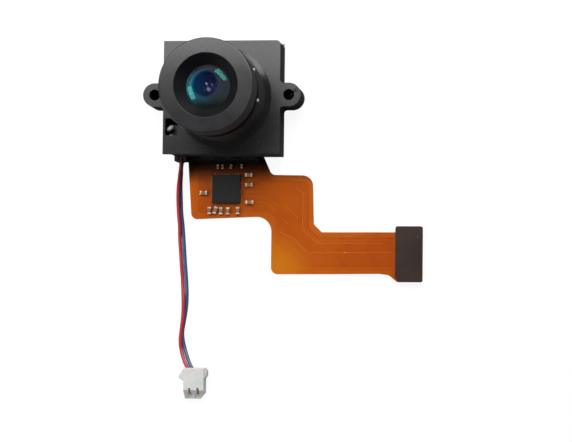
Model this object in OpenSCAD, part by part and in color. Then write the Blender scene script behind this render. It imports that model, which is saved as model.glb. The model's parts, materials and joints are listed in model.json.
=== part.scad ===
// Board camera module: M12 lens in a two-part holder with a day/night filter switcher,
// on a flexible circuit that ends in a board connector. The switcher's coil has a short
// two-wire lead with a two-way plug.
// It lies on its back: +Z is the lens axis, +Y is the image's up, and z = 0 is the table.

/* [Holder] */
// Width of the square holder along X
holder_w = 17.4; // [17.2:0.1:18]
// Depth of the square holder along Y
holder_d = 16.8; // [16.8:0.1:17.4]
// Height of the holder's front face above the table
face_z = 5.75; // [5.6:0.05:6.2]
// Height of the parting line between the two shells
seam_z = 3.1; // [3.05:0.05:3.2]
// Thickness of the front shell's face
skin_t = 0.75; // [0.6:0.05:0.8]
// Distance between the two screw holes
ear_span = 20; // [20:0.1:21]
// Offset of the screw holes from the lens axis along Y
ear_y = 0.35; // [0:0.05:0.6]
// Outer radius of a screw ear
ear_r = 1.75; // [1.5:0.05:2]
// Diameter of the screw holes
ear_hole_d = 1.65; // [1.4:0.05:1.8]
// Outer diameter of the lens tube on the front shell
boss_d = 13.2; // [13:0.1:13.8]
// Height of the lens tube above the front face
boss_h = 7; // [6:0.1:8]
// Diameter of the sloping collar at the foot of the lens tube
collar_d = 14.9; // [14.4:0.1:15.4]

/* [Lens] */
// Height of the lens's front face above the table
lens_z = 20.1; // [19.6:0.1:20.8]
// Diameter of the lens head
head_d = 13.5; // [13.2:0.1:14]
// Height of the lens head
head_h = 4.2; // [3.8:0.1:4.6]
// Outer diameter of the lens thread
thread_d = 12; // [11.9:0.05:12]
// Diameter of the mouth in the front of the head
mouth_d = 9.2; // [9:0.1:9.6]
// Diameter of the front glass that shows in the mouth
glass_d = 6.3; // [6:0.1:6.8]
// Radius of the front glass's domed face
front_dome_r = 6.5; // [6:0.5:12]

/* [Filter switcher] */
// Distance between the two filters, which is also the slide's travel
filter_pitch = 4.8; // [4.6:0.1:4.8]
// Length of a filter along Y
filter_l = 5.4; // [5:0.1:5.4]
// Thickness of a filter
filter_t = 0.4; // [0.3:0.05:0.4]
// Radius at which the rotor arm's pin runs
arm_r = 3; // [3:0.05:3.1]
// Diameter of the rotor magnet
magnet_d = 2; // [1.8:0.1:2]

/* [Flexible circuit] */
// Thickness of the flexible circuit
flex_t = 0.12; // [0.1:0.01:0.15]
// Thickness of the stiffeners
stiff_t = 0.3; // [0.3:0.05:0.35]
// Width of the arm that runs to the connector
arm_w = 6.2; // [5.8:0.1:6.4]
// Reach of the connector end from the lens axis along X
reach_x = 29.55; // [28.5:0.05:31]
// Height of the board connector
connector_h = 0.9; // [0.8:0.05:1]
// Number of contacts in each of the connector's two rows
contact_count = 12; // [8:1:12]
// Side of the square control chip
chip_w = 4.2; // [3.8:0.1:4.4]
// Height of the control chip
chip_h = 0.8; // [0.6:0.05:0.9]

/* [Lead] */
// Outer diameter of each wire
wire_d = 0.55; // [0.5:0.01:0.55]
// Distance between the plug's two contacts
plug_pitch = 1.25; // [1.2:0.05:1.3]
// Height of the plug
plug_h = 2.5; // [2.3:0.1:2.8]

/* [Hidden] */
$fn = 64;
tiny = 0.01;
board_z = stiff_t + flex_t;
face_in_z = face_z - skin_t;

// Holder
corner_r = 0.6;
notch_w = 1.2;
notch_d = 1.4;
sensor_pocket = [12, 11];
sensor_pocket_z = 1.4;
floor_z = 1.9;
window = [6.4, 5.2];
channel_x = holder_w / 2 - 0.5;
channel_y = 3.6;
pocket_top_y = -3.4;
pocket_right_x = 3.7;
pocket_low_y = -holder_d / 2 + 0.4;
pocket_step = [-6.85, -6.7];
slide_z = 2.7;
slide_h = 0.8;
outlet_x = -6.4;
outlet_w = 0.7;
outlet_reach = 0.8;
pin_window_x = [-holder_w / 2 + 0.35, -6.5];
pin_window_y = [-5.65, -3.1];
collar_h = 0.6;
tube_ease = 0.35;
tube_opening_d = 9;
bearing_slack = 0.1;
rail_y = [2.9, 3.4];
rail_slack = 0.05;

// Filter switcher
filter_w = filter_pitch - 0.3;
frame_half = filter_pitch + 0.45;
rotor_y = -6.3;
arm_pin_d = 0.6;
fork_gap = 1.1;
yoke_z = 3.9;
yoke_t = 0.4;
core_w = 0.5;
coil_z = yoke_z + yoke_t / 2;
spool_r = 0.45;
spool_h = 0.35;
shelf_top_y = -3.9;
pole_gap_d = magnet_d + 0.4;
terminal_y = [-4.55, -5.85];
terminal_x = -7.6;
pin_d = 0.5;
rotor_pin_d = 0.5;

// Lens: heights of the seats inside the barrel, and the radii of its bores
barrel_z = face_in_z + 0.3;
rear_seat_z = 8.2;
rear_z = rear_seat_z - 1.5;
front_bore_z = 9.4;
front_seat_z = lens_z - 4.1;
mouth_z = lens_z - 2.4;
second_rim_z = front_seat_z - 2.9;
second_z = front_seat_z - 4.1;
aperture_z = front_seat_z - 4.6;
front_seat_r = 3.95;
bore_r = 3.4;
rear_seat_r = 3.6;
waist_r = 2.2;
aperture_d = 2.8;
slip = 0.03;

// Where the flexible circuit starts to rise, and where its connector end sits
flex_rise_x = 15.5;
flex_end_z = connector_h;
stiff_x = reach_x - 4.05;
stiff_y = [-26.95, -18.7];
connector_x = (stiff_x + reach_x) / 2;
connector_y = (stiff_y[0] + stiff_y[1]) / 2;
contact_pitch = 0.5;
chip_spot = [0.15, -13.2];

// Image sensor
package_half = [3.5, 3.2];
package_h = 0.6;

// Centre, turn, length and width of each chip capacitor
capacitor_spots = [
  [-3.3, -13.8, 0, 1.1, 0.6], [3.5, -11.1, 0, 1.1, 0.55], [3.55, -12.6, 0, 1.1, 0.55],
  [3.65, -15.2, 0, 1.2, 0.55], [-2.4, -16.45, 90, 1.1, 0.55], [-1.5, -16.4, 72, 1.1, 0.55],
  [-0.65, -16.5, 90, 1.1, 0.55], [0.4, -16.5, 90, 1.1, 0.55], [1.9, -16.45, 90, 1.1, 0.55],
  [-1.2, -9.85, 90, 0.6, 0.35], [-0.5, -9.85, 90, 0.6, 0.35], [0.8, -9.85, 75, 0.6, 0.35],
  [2.4, -9.8, 90, 0.6, 0.35]
];

// Routes of the two wires from the coil's pins, out of the holder, and along the table
red_route = [
  [-7.6, -4.6, 2.45], [-7.25, -5.1, 2.65], [-6.8, -5.85, 2.8], [-6.4, -6.75, 2.78],
  [-6.4, -8.2, 2.78], [-6.4, -9.55, 2.78], [-6.5, -10.35, 2.58], [-6.7, -11.2, 2.05],
  [-6.9, -12, 1.45], [-7.1, -13, 0.95], [-7.15, -14.6, 0.82], [-7.05, -16.7, 0.78],
  [-6.9, -18.7, 0.68], [-6.85, -20.7, 0.5], [-6.75, -22.7, 0.3], [-6.6, -24.7, 0.28],
  [-6.4, -26.7, 0.28], [-6.25, -28.6, 0.48], [-6.15, -30.3, 0.72], [-6.15, -31.8, 0.82],
  [-6.25, -33.2, 0.86], [-6.4, -34.6, 0.86], [-6.52, -35.8, 0.78], [-6.42, -37, 0.66],
  [-6.1, -38.1, 0.84], [-5.7, -39.1, 1.16], [-5.3, -39.9, 1.34], [-4.85, -41, 1.38],
  [-4.74, -41.48, 1.38]
];
blue_route = [
  [-7.6, -5.8, 2.45], [-7.2, -5.95, 2.3], [-6.75, -6.2, 2.2], [-6.4, -6.75, 2.2],
  [-6.4, -8.2, 2.2], [-6.4, -9.55, 2.2], [-6.5, -10.2, 1.98], [-6.6, -10.95, 1.42],
  [-6.75, -11.8, 0.8], [-6.85, -12.8, 0.38], [-6.8, -14.6, 0.28], [-6.7, -16.7, 0.28],
  [-6.45, -18.7, 0.28], [-6.25, -20.7, 0.28], [-6.1, -22.7, 0.28], [-5.95, -24.7, 0.28],
  [-5.8, -26.7, 0.28], [-5.7, -28.6, 0.28], [-5.72, -30.3, 0.28], [-5.88, -31.8, 0.28],
  [-6.1, -33.2, 0.28], [-6.3, -34.6, 0.28], [-6.2, -35.8, 0.28], [-5.9, -37, 0.36],
  [-5.48, -38.1, 0.72], [-5.08, -39.1, 1.12], [-4.66, -39.9, 1.34], [-3.78, -41, 1.38],
  [-3.5, -41.48, 1.38]
];

// Plug
plug_x = [-5.7, -2.65];
plug_y = [-44.5, -39.9];
plug_mid_x = (plug_x[0] + plug_x[1]) / 2;
cavity_w = 0.95;
cavity_z = 0.9;

function unit(v) = v / norm(v);

// Arc of radius r that rounds the corner at b on the way from a to c
function corner_arc(a, b, c, r, steps = 8) =
  let (
    to_a = unit(a - b),
    to_c = unit(c - b),
    half = acos(to_a * to_c) / 2,
    centre = b + unit(to_a + to_c) * r / sin(half),
    start = b + to_a * r / tan(half) - centre,
    turn = (to_a[0] * to_c[1] - to_a[1] * to_c[0] > 0 ? -1 : 1) * (180 - 2 * half),
    start_angle = atan2(start[1], start[0])
  )
  [for (i = [0:steps]) let (angle = start_angle + turn * i / steps)
    centre + r * [cos(angle), sin(angle)]];

// Outline through corners [x, y, radius], each rounded to its own radius
function rounded(corners) =
  let (n = len(corners))
  [for (i = [0:n - 1])
    let (
      a = corners[(i + n - 1) % n],
      b = corners[i],
      c = corners[(i + 1) % n]
    )
    for (p = corner_arc([a[0], a[1]], [b[0], b[1]], [c[0], c[1]], b[2])) p];

function smooth_step(t) = let (s = min(1, max(0, t))) s * s * (3 - 2 * s);

// Height of the flexible circuit's underside at x: it rises to the connector's back
function flex_under(x) =
  stiff_t + (flex_end_z - stiff_t) * smooth_step((x - flex_rise_x) / (stiff_x - 1 - flex_rise_x));

// Tube of diameter d swept along a route, with one eight-sided ring at each point
module wire_tube(route, d) {
  sides = 8;
  count = len(route);
  rings = [
    for (i = [0:count - 1])
      let (
        ahead = unit(route[min(i + 1, count - 1)] - route[max(i - 1, 0)]),
        across = unit(cross(ahead, [0, 0, 1])),
        over = cross(across, ahead)
      )
      for (k = [0:sides - 1])
        route[i] + d / 2 * (cos(k * 360 / sides) * across + sin(k * 360 / sides) * over)
  ];
  walls = [
    for (i = [0:count - 2], k = [0:sides - 1])
      let (k2 = (k + 1) % sides)
      [i * sides + k, i * sides + k2, (i + 1) * sides + k2, (i + 1) * sides + k]
  ];
  first_cap = [for (k = [sides - 1:-1:0]) k];
  last_cap = [for (k = [0:sides - 1]) (count - 1) * sides + k];
  polyhedron(points = rings, faces = concat(walls, [first_cap, last_cap]), convexity = 6);
}

// Ring between two heights
module ring(outer_d, inner_d, z0, z1) {
  difference() {
    translate([0, 0, z0]) cylinder(d = outer_d, h = z1 - z0);
    translate([0, 0, z0 - 1]) cylinder(d = inner_d, h = z1 - z0 + 2);
  }
}

// Box between two corners
module block(low, high) {
  translate(low) cube(high - low);
}

// Screw ear on one side, with small fillets where it meets the holder's wall
module ear(side, z0, z1) {
  root = holder_w / 2;
  fillet_r = 0.5;
  translate([side * ear_span / 2, ear_y, z0]) cylinder(r = ear_r, h = z1 - z0);
  block(
    [side > 0 ? root - 1 : -ear_span / 2, ear_y - ear_r, z0],
    [side > 0 ? ear_span / 2 : -root + 1, ear_y + ear_r, z1]
  );
  for (v = [-1, 1])
    difference() {
      translate([side * (root + fillet_r / 2 - 0.1), ear_y + v * (ear_r + fillet_r / 2), (z0 + z1) / 2])
        cube([fillet_r + 0.2, fillet_r, z1 - z0], center = true);
      translate([side * (root + fillet_r), ear_y + v * (ear_r + fillet_r), z0 - 1])
        cylinder(r = fillet_r, h = z1 - z0 + 2);
    }
}

// Solid outline of the holder between two heights, with one eased corner
module holder_blank(z0, z1) {
  w = holder_w / 2;
  d = holder_d / 2;
  difference() {
    block([-w, -d, z0], [w, d, z1]);
    difference() {
      block([w - corner_r, d - corner_r, z0 - 1], [w + 1, d + 1, z1 + 1]);
      translate([w - corner_r, d - corner_r, z0 - 2]) cylinder(r = corner_r, h = z1 - z0 + 4);
    }
  }
  for (side = [-1, 1]) ear(side, z0, z1);
}

// Corner left open behind the face, beside the wires' outlet
module corner_notch() {
  block(
    [-holder_w / 2 - 1, -holder_d / 2 - 1, 0],
    [-holder_w / 2 + notch_w, -holder_d / 2 + notch_d, face_in_z - 0.1]
  );
}

// Room inside both shells for the filter slide, the rotor and the coil
module mechanism_room(z0, z1) {
  block([-channel_x, -channel_y, z0], [channel_x, channel_y, min(z1, slide_z + slide_h + 0.1)]);
  block([-channel_x - 0.05, pocket_step[1], z0], [pocket_right_x, pocket_top_y, z1]);
  block([pocket_step[0], pocket_low_y, z0], [pocket_right_x, pocket_step[1] + tiny, z1]);
}

module ear_holes() {
  for (side = [-1, 1])
    translate([side * ear_span / 2, ear_y, -1]) cylinder(d = ear_hole_d, h = face_z + 2);
}

module front_housing() {
  color([0.11, 0.11, 0.115])
    difference() {
      union() {
        holder_blank(seam_z, face_z);
        translate([0, 0, face_z - tiny])
          cylinder(d1 = collar_d, d2 = boss_d, h = collar_h + tiny);
        translate([0, 0, face_z - tiny]) cylinder(d = boss_d, h = boss_h + tiny);
      }
      mechanism_room(seam_z - 1, face_in_z);
      translate([0, 0, seam_z]) cylinder(d = tube_opening_d, h = 4);
      translate([0, 0, face_in_z]) cylinder(d = thread_d, h = boss_h + 2);
      translate([0, 0, face_z + boss_h + tiny - tube_ease])
        cylinder(d1 = thread_d, d2 = thread_d + 2 * tube_ease, h = tube_ease);
      // window over the coil's pins
      block([pin_window_x[0], pin_window_y[0], seam_z], [pin_window_x[1], pin_window_y[1], face_z + 1]);
      // upper bearing of the rotor
      translate([0, rotor_y, face_in_z - tiny]) cylinder(d = rotor_pin_d + bearing_slack, h = 0.45);
      corner_notch();
      ear_holes();
    }
}

module rear_housing() {
  // the lower rail is open in its middle for the rotor's arm
  arm_gap = 3.4;
  color([0.1, 0.1, 0.105])
    difference() {
      union() {
        difference() {
          union() {
            holder_blank(board_z, seam_z);
            // lip that carries the wires' outlet
            block([-7.4, -holder_d / 2 - outlet_reach, board_z],
              [outlet_x + outlet_w, -holder_d / 2 + tiny, seam_z]);
          }
          mechanism_room(floor_z, seam_z + 1);
        }
        // rails under the filter slide
        block([-channel_x, rail_y[0], floor_z - tiny], [channel_x, rail_y[1], slide_z - rail_slack]);
        for (side = [-1, 1])
          block([side > 0 ? arm_gap : -channel_x, -rail_y[1], floor_z - tiny],
            [side > 0 ? channel_x : -arm_gap, -rail_y[0], slide_z - rail_slack]);
      }
      // room for the image sensor, and its window
      block([-sensor_pocket[0] / 2, -sensor_pocket[1] / 2, 0],
        [sensor_pocket[0] / 2, sensor_pocket[1] / 2, sensor_pocket_z]);
      block([-window[0] / 2, -window[1] / 2, 0], [window[0] / 2, window[1] / 2, seam_z]);
      // lower bearing of the rotor
      translate([0, rotor_y, floor_z - 0.4]) cylinder(d = rotor_pin_d + bearing_slack, h = 1);
      // slot for the two wires
      block([outlet_x - outlet_w / 2, -holder_d / 2 - outlet_reach - 1, floor_z],
        [outlet_x + outlet_w / 2, pocket_low_y + tiny, seam_z + 1]);
      corner_notch();
      ear_holes();
    }
}

// Slide with a pocket for each filter and a fork for the rotor's pin.
// At rest the infrared filter, on its left side, is on the lens axis.
module filter_frame() {
  shift = filter_pitch / 2;
  lip = 0.3;
  half_l = 3.5;
  fork = [1.05, 4.9];
  color([0.16, 0.16, 0.17])
    translate([shift, 0, 0])
      difference() {
        union() {
          block([-frame_half, -half_l, slide_z], [frame_half, half_l, slide_z + slide_h]);
          block([-fork[0], -fork[1], slide_z], [fork[0], -half_l + tiny, slide_z + slide_h]);
        }
        for (side = [-1, 1])
          translate([side * shift, 0, 0]) {
            block([-filter_w / 2, -filter_l / 2, slide_z + 0.2],
              [filter_w / 2, filter_l / 2, slide_z + slide_h + 1]);
            block([-filter_w / 2 + lip, -filter_l / 2 + lip, slide_z - 1],
              [filter_w / 2 - lip, filter_l / 2 - lip, slide_z + slide_h + 1]);
          }
        block([-fork_gap / 2, -6, slide_z - 1], [fork_gap / 2, -2.9, slide_z + slide_h + 1]);
      }
}

// One filter, at its place in the slide
module filter_pane(x) {
  w = filter_w / 2 - slip;
  l = filter_l / 2 - slip;
  block([x - w, -l, slide_z + 0.2], [x + w, l, slide_z + 0.2 + filter_t]);
}

module ir_filter() {
  color([0.55, 0.75, 0.78, 0.6]) filter_pane(0);
}

module clear_filter() {
  color([0.85, 0.9, 0.9, 0.4]) filter_pane(filter_pitch);
}

module rotor_magnet() {
  color([0.35, 0.35, 0.37])
    translate([0, rotor_y, 0]) ring(magnet_d, rotor_pin_d, slide_z - 0.2, face_in_z - 0.1);
}

// Arm under the slide, turned to the slide's right end at rest
module rotor_arm() {
  rest_angle = asin(filter_pitch / 2 / arm_r);
  arm_z = floor_z + 0.1;
  arm_t = slide_z - 0.2 - arm_z;
  color([0.85, 0.85, 0.8])
    translate([0, rotor_y, 0])
      rotate([0, 0, -rest_angle])
        difference() {
          union() {
            translate([0, 0, arm_z]) cylinder(d = 1.8, h = arm_t);
            block([-0.35, 0, arm_z], [0.35, arm_r, arm_z + arm_t]);
            translate([0, arm_r, arm_z]) cylinder(d = 0.7, h = arm_t);
            translate([0, arm_r, arm_z]) cylinder(d = arm_pin_d, h = slide_h + arm_t + 0.25);
          }
          translate([0, 0, floor_z - 1]) cylinder(d = rotor_pin_d, h = 6);
        }
}

module rotor_pin() {
  color([0.7, 0.7, 0.72])
    translate([0, rotor_y, floor_z - 0.35])
      cylinder(d = rotor_pin_d, h = face_in_z + 0.35 - (floor_z - 0.35));
}

// Spool on the yoke's core, with a shelf at its left end for the two pins.
// It stands on a leg under the shelf and on its right flange.
module coil_bobbin() {
  left = -6.35;
  right = -2.2;
  shelf_x = -8.1;
  shelf_low_y = -6.45;
  web_low_y = -5.3;
  flange_t = 0.3;
  flange_r = 1.1;
  flange_half = 0.8;
  leg_t = 0.18;
  low = coil_z - flange_half;
  color([0.14, 0.14, 0.145])
    difference() {
      union() {
        block([left, rotor_y - spool_r, coil_z - spool_h], [right, rotor_y + spool_r, coil_z + spool_h]);
        for (x = [left, right - flange_t])
          block([x, rotor_y - flange_r, low], [x + flange_t, rotor_y + flange_r, coil_z + flange_half]);
        block([shelf_x, shelf_low_y, low], [left + tiny, shelf_top_y, coil_z - 0.25]);
        block([left, web_low_y, low], [left + flange_t, shelf_top_y, coil_z + 0.3]);
        // leg and foot
        block([shelf_x, shelf_low_y, floor_z], [shelf_x + leg_t, shelf_top_y, low + tiny]);
        block([right - flange_t, rotor_y - flange_r, floor_z], [right, rotor_y + 0.8, low + tiny]);
      }
      // way for the core
      block([left - 1, rotor_y - core_w / 2, yoke_z], [right + 1, rotor_y + core_w / 2, yoke_z + yoke_t]);
      for (y = terminal_y) translate([terminal_x, y, 0]) cylinder(d = pin_d, h = 8);
    }
}

module coil_winding() {
  color([0.66, 0.33, 0.13])
    difference() {
      translate([-6.05, rotor_y, coil_z]) rotate([0, 90, 0]) linear_extrude(height = 3.55)
        polygon(rounded([
          [-0.75, -1.02, 0.3], [0.75, -1.02, 0.3], [0.75, 1.02, 0.3], [-0.75, 1.02, 0.3]
        ]));
      block([-7, rotor_y - spool_r, coil_z - spool_h], [-2, rotor_y + spool_r, coil_z + spool_h]);
    }
}

// One stamped strip: through the coil to the magnet's left side, and round below to its right
module coil_yoke() {
  back_x = -6.95;
  low_y = pocket_low_y + 0.05;
  strip = 0.4;
  color([0.72, 0.72, 0.74])
    difference() {
      union() {
        block([back_x, rotor_y - core_w / 2, yoke_z], [-0.9, rotor_y + core_w / 2, yoke_z + yoke_t]);
        block([back_x + 0.25, low_y, yoke_z], [-6.4, rotor_y, yoke_z + yoke_t]);
        block([back_x + 0.25, low_y, yoke_z], [2.2, low_y + strip, yoke_z + yoke_t]);
        block([1.75, low_y, yoke_z], [2.2, rotor_y + core_w / 2, yoke_z + yoke_t]);
        block([0.9, rotor_y - core_w / 2, yoke_z], [2.2, rotor_y + core_w / 2, yoke_z + yoke_t]);
      }
      translate([0, rotor_y, yoke_z - 1]) cylinder(d = pole_gap_d, h = 3);
    }
}

// Two pins, each with a round joint of solder at its upper end
module coil_terminals() {
  color([0.85, 0.85, 0.84])
    for (y = terminal_y)
      translate([terminal_x, y, 0]) {
        translate([0, 0, 2.76]) cylinder(d = pin_d, h = face_in_z - 0.1 - 2.76);
        intersection() {
          translate([0, 0, face_in_z - 0.65]) sphere(r = 0.5);
          translate([0, 0, yoke_z]) cylinder(r = 1, h = 1);
        }
      }
}

// Body of the lens, threaded below its head and bored in steps for the glass
module lens_barrel() {
  chamfer = 0.2;
  edge_r = head_d / 2;
  head_z = lens_z - head_h;
  thread_r = thread_d / 2 - 0.05;
  neck_r = thread_d / 2 - 0.45;
  thread_top = face_z + boss_h + 0.9;
  color([0.12, 0.12, 0.125])
    rotate_extrude($fn = 96)
      polygon([
        [rear_seat_r, barrel_z], [thread_r - 0.45, barrel_z], [thread_r, barrel_z + 0.45],
        [thread_r, thread_top - 0.4], [neck_r, thread_top],
        [neck_r, head_z - 0.5], [edge_r - 0.5, head_z], [edge_r - chamfer, head_z],
        [edge_r, head_z + chamfer], [edge_r, lens_z - chamfer], [edge_r - chamfer, lens_z],
        [mouth_d / 2, lens_z], [mouth_d / 2, mouth_z], [front_seat_r, mouth_z],
        [front_seat_r, front_seat_z], [bore_r, front_seat_z], [bore_r, front_bore_z],
        [waist_r, front_bore_z], [waist_r, rear_seat_z], [rear_seat_r, rear_seat_z]
      ]);
}

// Threaded ring with a wide cone that holds the front glass down
module front_retainer() {
  outer_r = mouth_d / 2 - slip;
  top_z = lens_z - 0.25;
  color([0.09, 0.09, 0.095])
    rotate_extrude($fn = 96)
      polygon([
        [glass_d / 2, mouth_z], [outer_r, mouth_z], [outer_r, top_z], [outer_r - 0.15, top_z],
        [glass_d / 2 + 0.25, mouth_z + 0.35], [glass_d / 2, mouth_z + 0.35]
      ]);
}

// Round glass with a flat rim, a domed middle and, if hollow_r is set, a hollow underside
module lens_glass(outer_r, z0, rim_z, dome_d, dome_r, hollow_r = 0, hollow_depth = 0) {
  sag = dome_r - sqrt(dome_r * dome_r - dome_d * dome_d / 4);
  difference() {
    union() {
      translate([0, 0, z0]) cylinder(r = outer_r, h = rim_z - z0);
      intersection() {
        translate([0, 0, rim_z + sag - dome_r]) sphere(r = dome_r, $fn = 96);
        translate([0, 0, z0]) cylinder(d = dome_d, h = rim_z - z0 + 2);
      }
    }
    if (hollow_r > 0)
      translate([0, 0, z0 + hollow_depth - hollow_r]) sphere(r = hollow_r, $fn = 96);
  }
}

module front_element() {
  color([0.35, 0.45, 0.42, 0.6])
    lens_glass(front_seat_r - slip, front_seat_z, mouth_z, glass_d - 0.1, front_dome_r, 4, 1.1);
}

module second_element() {
  color([0.3, 0.42, 0.6, 0.6])
    lens_glass(bore_r - slip, second_z, second_rim_z, 5.4, 5, 7, 0.3);
}

module lens_spacer() {
  color([0.1, 0.1, 0.1])
    ring(2 * (bore_r - slip), 5.6, second_rim_z, front_seat_z);
}

module aperture_ring() {
  color([0.06, 0.06, 0.06])
    ring(2 * (bore_r - slip), aperture_d, aperture_z, second_z);
}

module third_element() {
  color([0.3, 0.42, 0.6, 0.6])
    lens_glass(bore_r - slip, front_bore_z, aperture_z, aperture_d - 0.2, 9);
}

module rear_element() {
  color([0.3, 0.42, 0.6, 0.6])
    lens_glass(rear_seat_r - slip, rear_z, rear_seat_z, 2 * waist_r - 0.2, 12);
}

module rear_retainer() {
  color([0.1, 0.1, 0.1])
    ring(2 * (rear_seat_r - slip), 5.8, barrel_z, rear_z);
}

// Two drops of glue that lock the lens in its tube
module thread_glue() {
  top_z = face_z + boss_h;
  drop_angles = [28, -12];
  drop_r = 0.36;
  color([0.8, 0.8, 0.78])
    for (angle = drop_angles)
      rotate([0, 0, angle])
        difference() {
          intersection() {
            translate([boss_d / 2 - 0.35, 0, top_z - 0.02]) sphere(r = drop_r);
            translate([boss_d / 2 - 1, -1, top_z]) cube([2, 2, 1]);
          }
          translate([0, 0, top_z - 1]) cylinder(d = thread_d, h = 3);
        }
}

module sensor_package() {
  well_half = [2.7, 2.4];
  well_z = 0.4;
  color([0.2, 0.2, 0.22])
    difference() {
      block(
        [-package_half[0], -package_half[1], board_z],
        [package_half[0], package_half[1], board_z + package_h]
      );
      block([-well_half[0], -well_half[1], board_z + well_z], [well_half[0], well_half[1], board_z + 1]);
    }
}

module sensor_glass() {
  rim = 0.3;
  glass_h = 0.3;
  low_z = board_z + package_h;
  color([0.6, 0.75, 0.7, 0.5])
    block(
      [-package_half[0] + rim, -package_half[1] + rim, low_z],
      [package_half[0] - rim, package_half[1] - rim, low_z + glass_h]
    );
}

// Plan of the flexible circuit, anticlockwise from the holder's lower right corner
function flex_plan() =
  let (
    low_y = -25.9,
    top_y = low_y + arm_w + 0.1
  )
  rounded([
    [8.4, -8.1, 0.5], [8.4, 8.1, 0.5], [-8.4, 8.1, 0.5], [-8.4, -8.1, 0.5],
    [-5.8, -8.1, 0.2], [-5.13, -17.75, 0.9], [6.95, -17.25, 2.2], [6.95, low_y, 1],
    [stiff_x - 2.3, low_y + 0.15, 3], [stiff_x - 0.9, low_y - 0.05, 1],
    [stiff_x + 0.3, stiff_y[0], 0.2], [reach_x, stiff_y[0], 0.3], [reach_x, stiff_y[1], 0.3],
    [stiff_x + 0.05, stiff_y[1], 0.1], [stiff_x, top_y, 0.2], [14.5, top_y, 0.3],
    [13.3, top_y + 1.2, 0.5], [13.1, -11.15, 1.6], [6.9, -11.05, 0.9], [5.6, -8.1, 0.2]
  ]);

module flex_circuit() {
  steps = 14;
  run = stiff_x - 1 - flex_rise_x;
  under = [for (i = [0:steps]) let (x = flex_rise_x + run * i / steps) [x, flex_under(x)]];
  over = [for (i = [steps:-1:0]) under[i] + [0, flex_t]];
  profile = concat([[-10, stiff_t]], under, [[32, flex_end_z], [32, flex_end_z + flex_t]], over,
    [[-10, board_z]]);
  color([0.72, 0.36, 0.09])
    intersection() {
      linear_extrude(height = 3) polygon(flex_plan());
      translate([0, 10, 0]) rotate([90, 0, 0]) linear_extrude(height = 40) polygon(profile);
    }
}

module sensor_stiffener() {
  color([0.6, 0.6, 0.62])
    linear_extrude(height = stiff_t)
      polygon(rounded([[8.2, -7.9, 0.6], [8.2, 7.9, 0.6], [-8.2, 7.9, 0.6], [-8.2, -7.9, 0.6]]));
}

module chip_stiffener() {
  color([0.6, 0.6, 0.62])
    linear_extrude(height = stiff_t)
      polygon(rounded([[5, -17, 0.6], [5, -9, 0.6], [-4.9, -9, 0.6], [-4.7, -17, 0.6]]));
}

module connector_stiffener() {
  color([0.24, 0.18, 0.155])
    translate([0, 0, flex_end_z + flex_t])
      linear_extrude(height = stiff_t)
        polygon(rounded([
          [stiff_x, stiff_y[0] + 0.85, 0.2], [stiff_x + 0.45, stiff_y[0], 0.2],
          [reach_x, stiff_y[0], 0.35], [reach_x, stiff_y[1], 0.35],
          [stiff_x + 0.3, stiff_y[1], 0.2], [stiff_x, stiff_y[1] - 0.3, 0.1]
        ]));
}

// Low socket under the stiffener, open downwards, with a tongue along its middle
module board_connector() {
  long = (contact_count - 1) * contact_pitch / 2 + 1;
  half = 1.45;
  translate([connector_x, connector_y, 0])
    color([0.82, 0.8, 0.72])
      difference() {
        block([-half, -long, 0], [half, long, connector_h]);
        for (side = [-1, 1])
          block([min(side * 0.35, side * 1.1), -long + 0.5, -1],
            [max(side * 0.35, side * 1.1), long - 0.5, connector_h - 0.25]);
        for (side = [-1, 1], i = [0:contact_count - 1])
          translate([side * (half - 0.1), (i - (contact_count - 1) / 2) * contact_pitch, 0])
            cube([0.5, 0.22, 3], center = true);
      }
}

// Two rows of bent contacts, each with a foot soldered to the flexible circuit
module connector_contacts() {
  translate([connector_x, connector_y, 0])
    color([0.83, 0.7, 0.4])
      for (side = [0, 180], i = [0:contact_count - 1])
        rotate([0, 0, side])
          translate([0, (i - (contact_count - 1) / 2) * contact_pitch + 0.09, 0])
            rotate([90, 0, 0])
              linear_extrude(height = 0.18)
                polygon([
                  [1.12, 0.05], [1.24, 0.05], [1.24, connector_h - 0.12], [1.75, connector_h - 0.12],
                  [1.75, connector_h], [1.12, connector_h]
                ]);
}

module control_chip() {
  color([0.15, 0.15, 0.155])
    translate([chip_spot[0], chip_spot[1], board_z])
      difference() {
        block([-chip_w / 2, -chip_w / 2, 0], [chip_w / 2, chip_w / 2, chip_h]);
        translate([-chip_w / 2 + 0.5, chip_w / 2 - 0.5, chip_h - 0.03]) cylinder(d = 0.35, h = 1);
      }
}

// Row of solder joints along each side of the chip
module chip_joints() {
  pitch = chip_w / 10;
  color([0.8, 0.78, 0.72])
    translate([chip_spot[0], chip_spot[1], board_z])
      for (turn = [0:90:270], i = [-4:4])
        rotate([0, 0, turn])
          block([i * pitch - 0.11, chip_w / 2, 0], [i * pitch + 0.11, chip_w / 2 + 0.2, 0.16]);
}

// Carries its children to each capacitor's place
module at_capacitors() {
  for (spot = capacitor_spots)
    translate([spot[0], spot[1], board_z]) rotate([0, 0, spot[2]]) {
      $length = spot[3];
      $width = spot[4];
      children();
    }
}

module capacitors() {
  color([0.62, 0.5, 0.38])
    at_capacitors()
      block([-$length * 0.26, -$width * 0.46, 0], [$length * 0.26, $width * 0.46, $width * 0.9]);
}

module capacitor_ends() {
  color([0.86, 0.84, 0.8])
    at_capacitors()
      for (side = [0, 180])
        rotate([0, 0, side])
          block([$length * 0.26, -$width / 2, 0], [$length / 2, $width / 2, $width * 0.95]);
}

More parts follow.
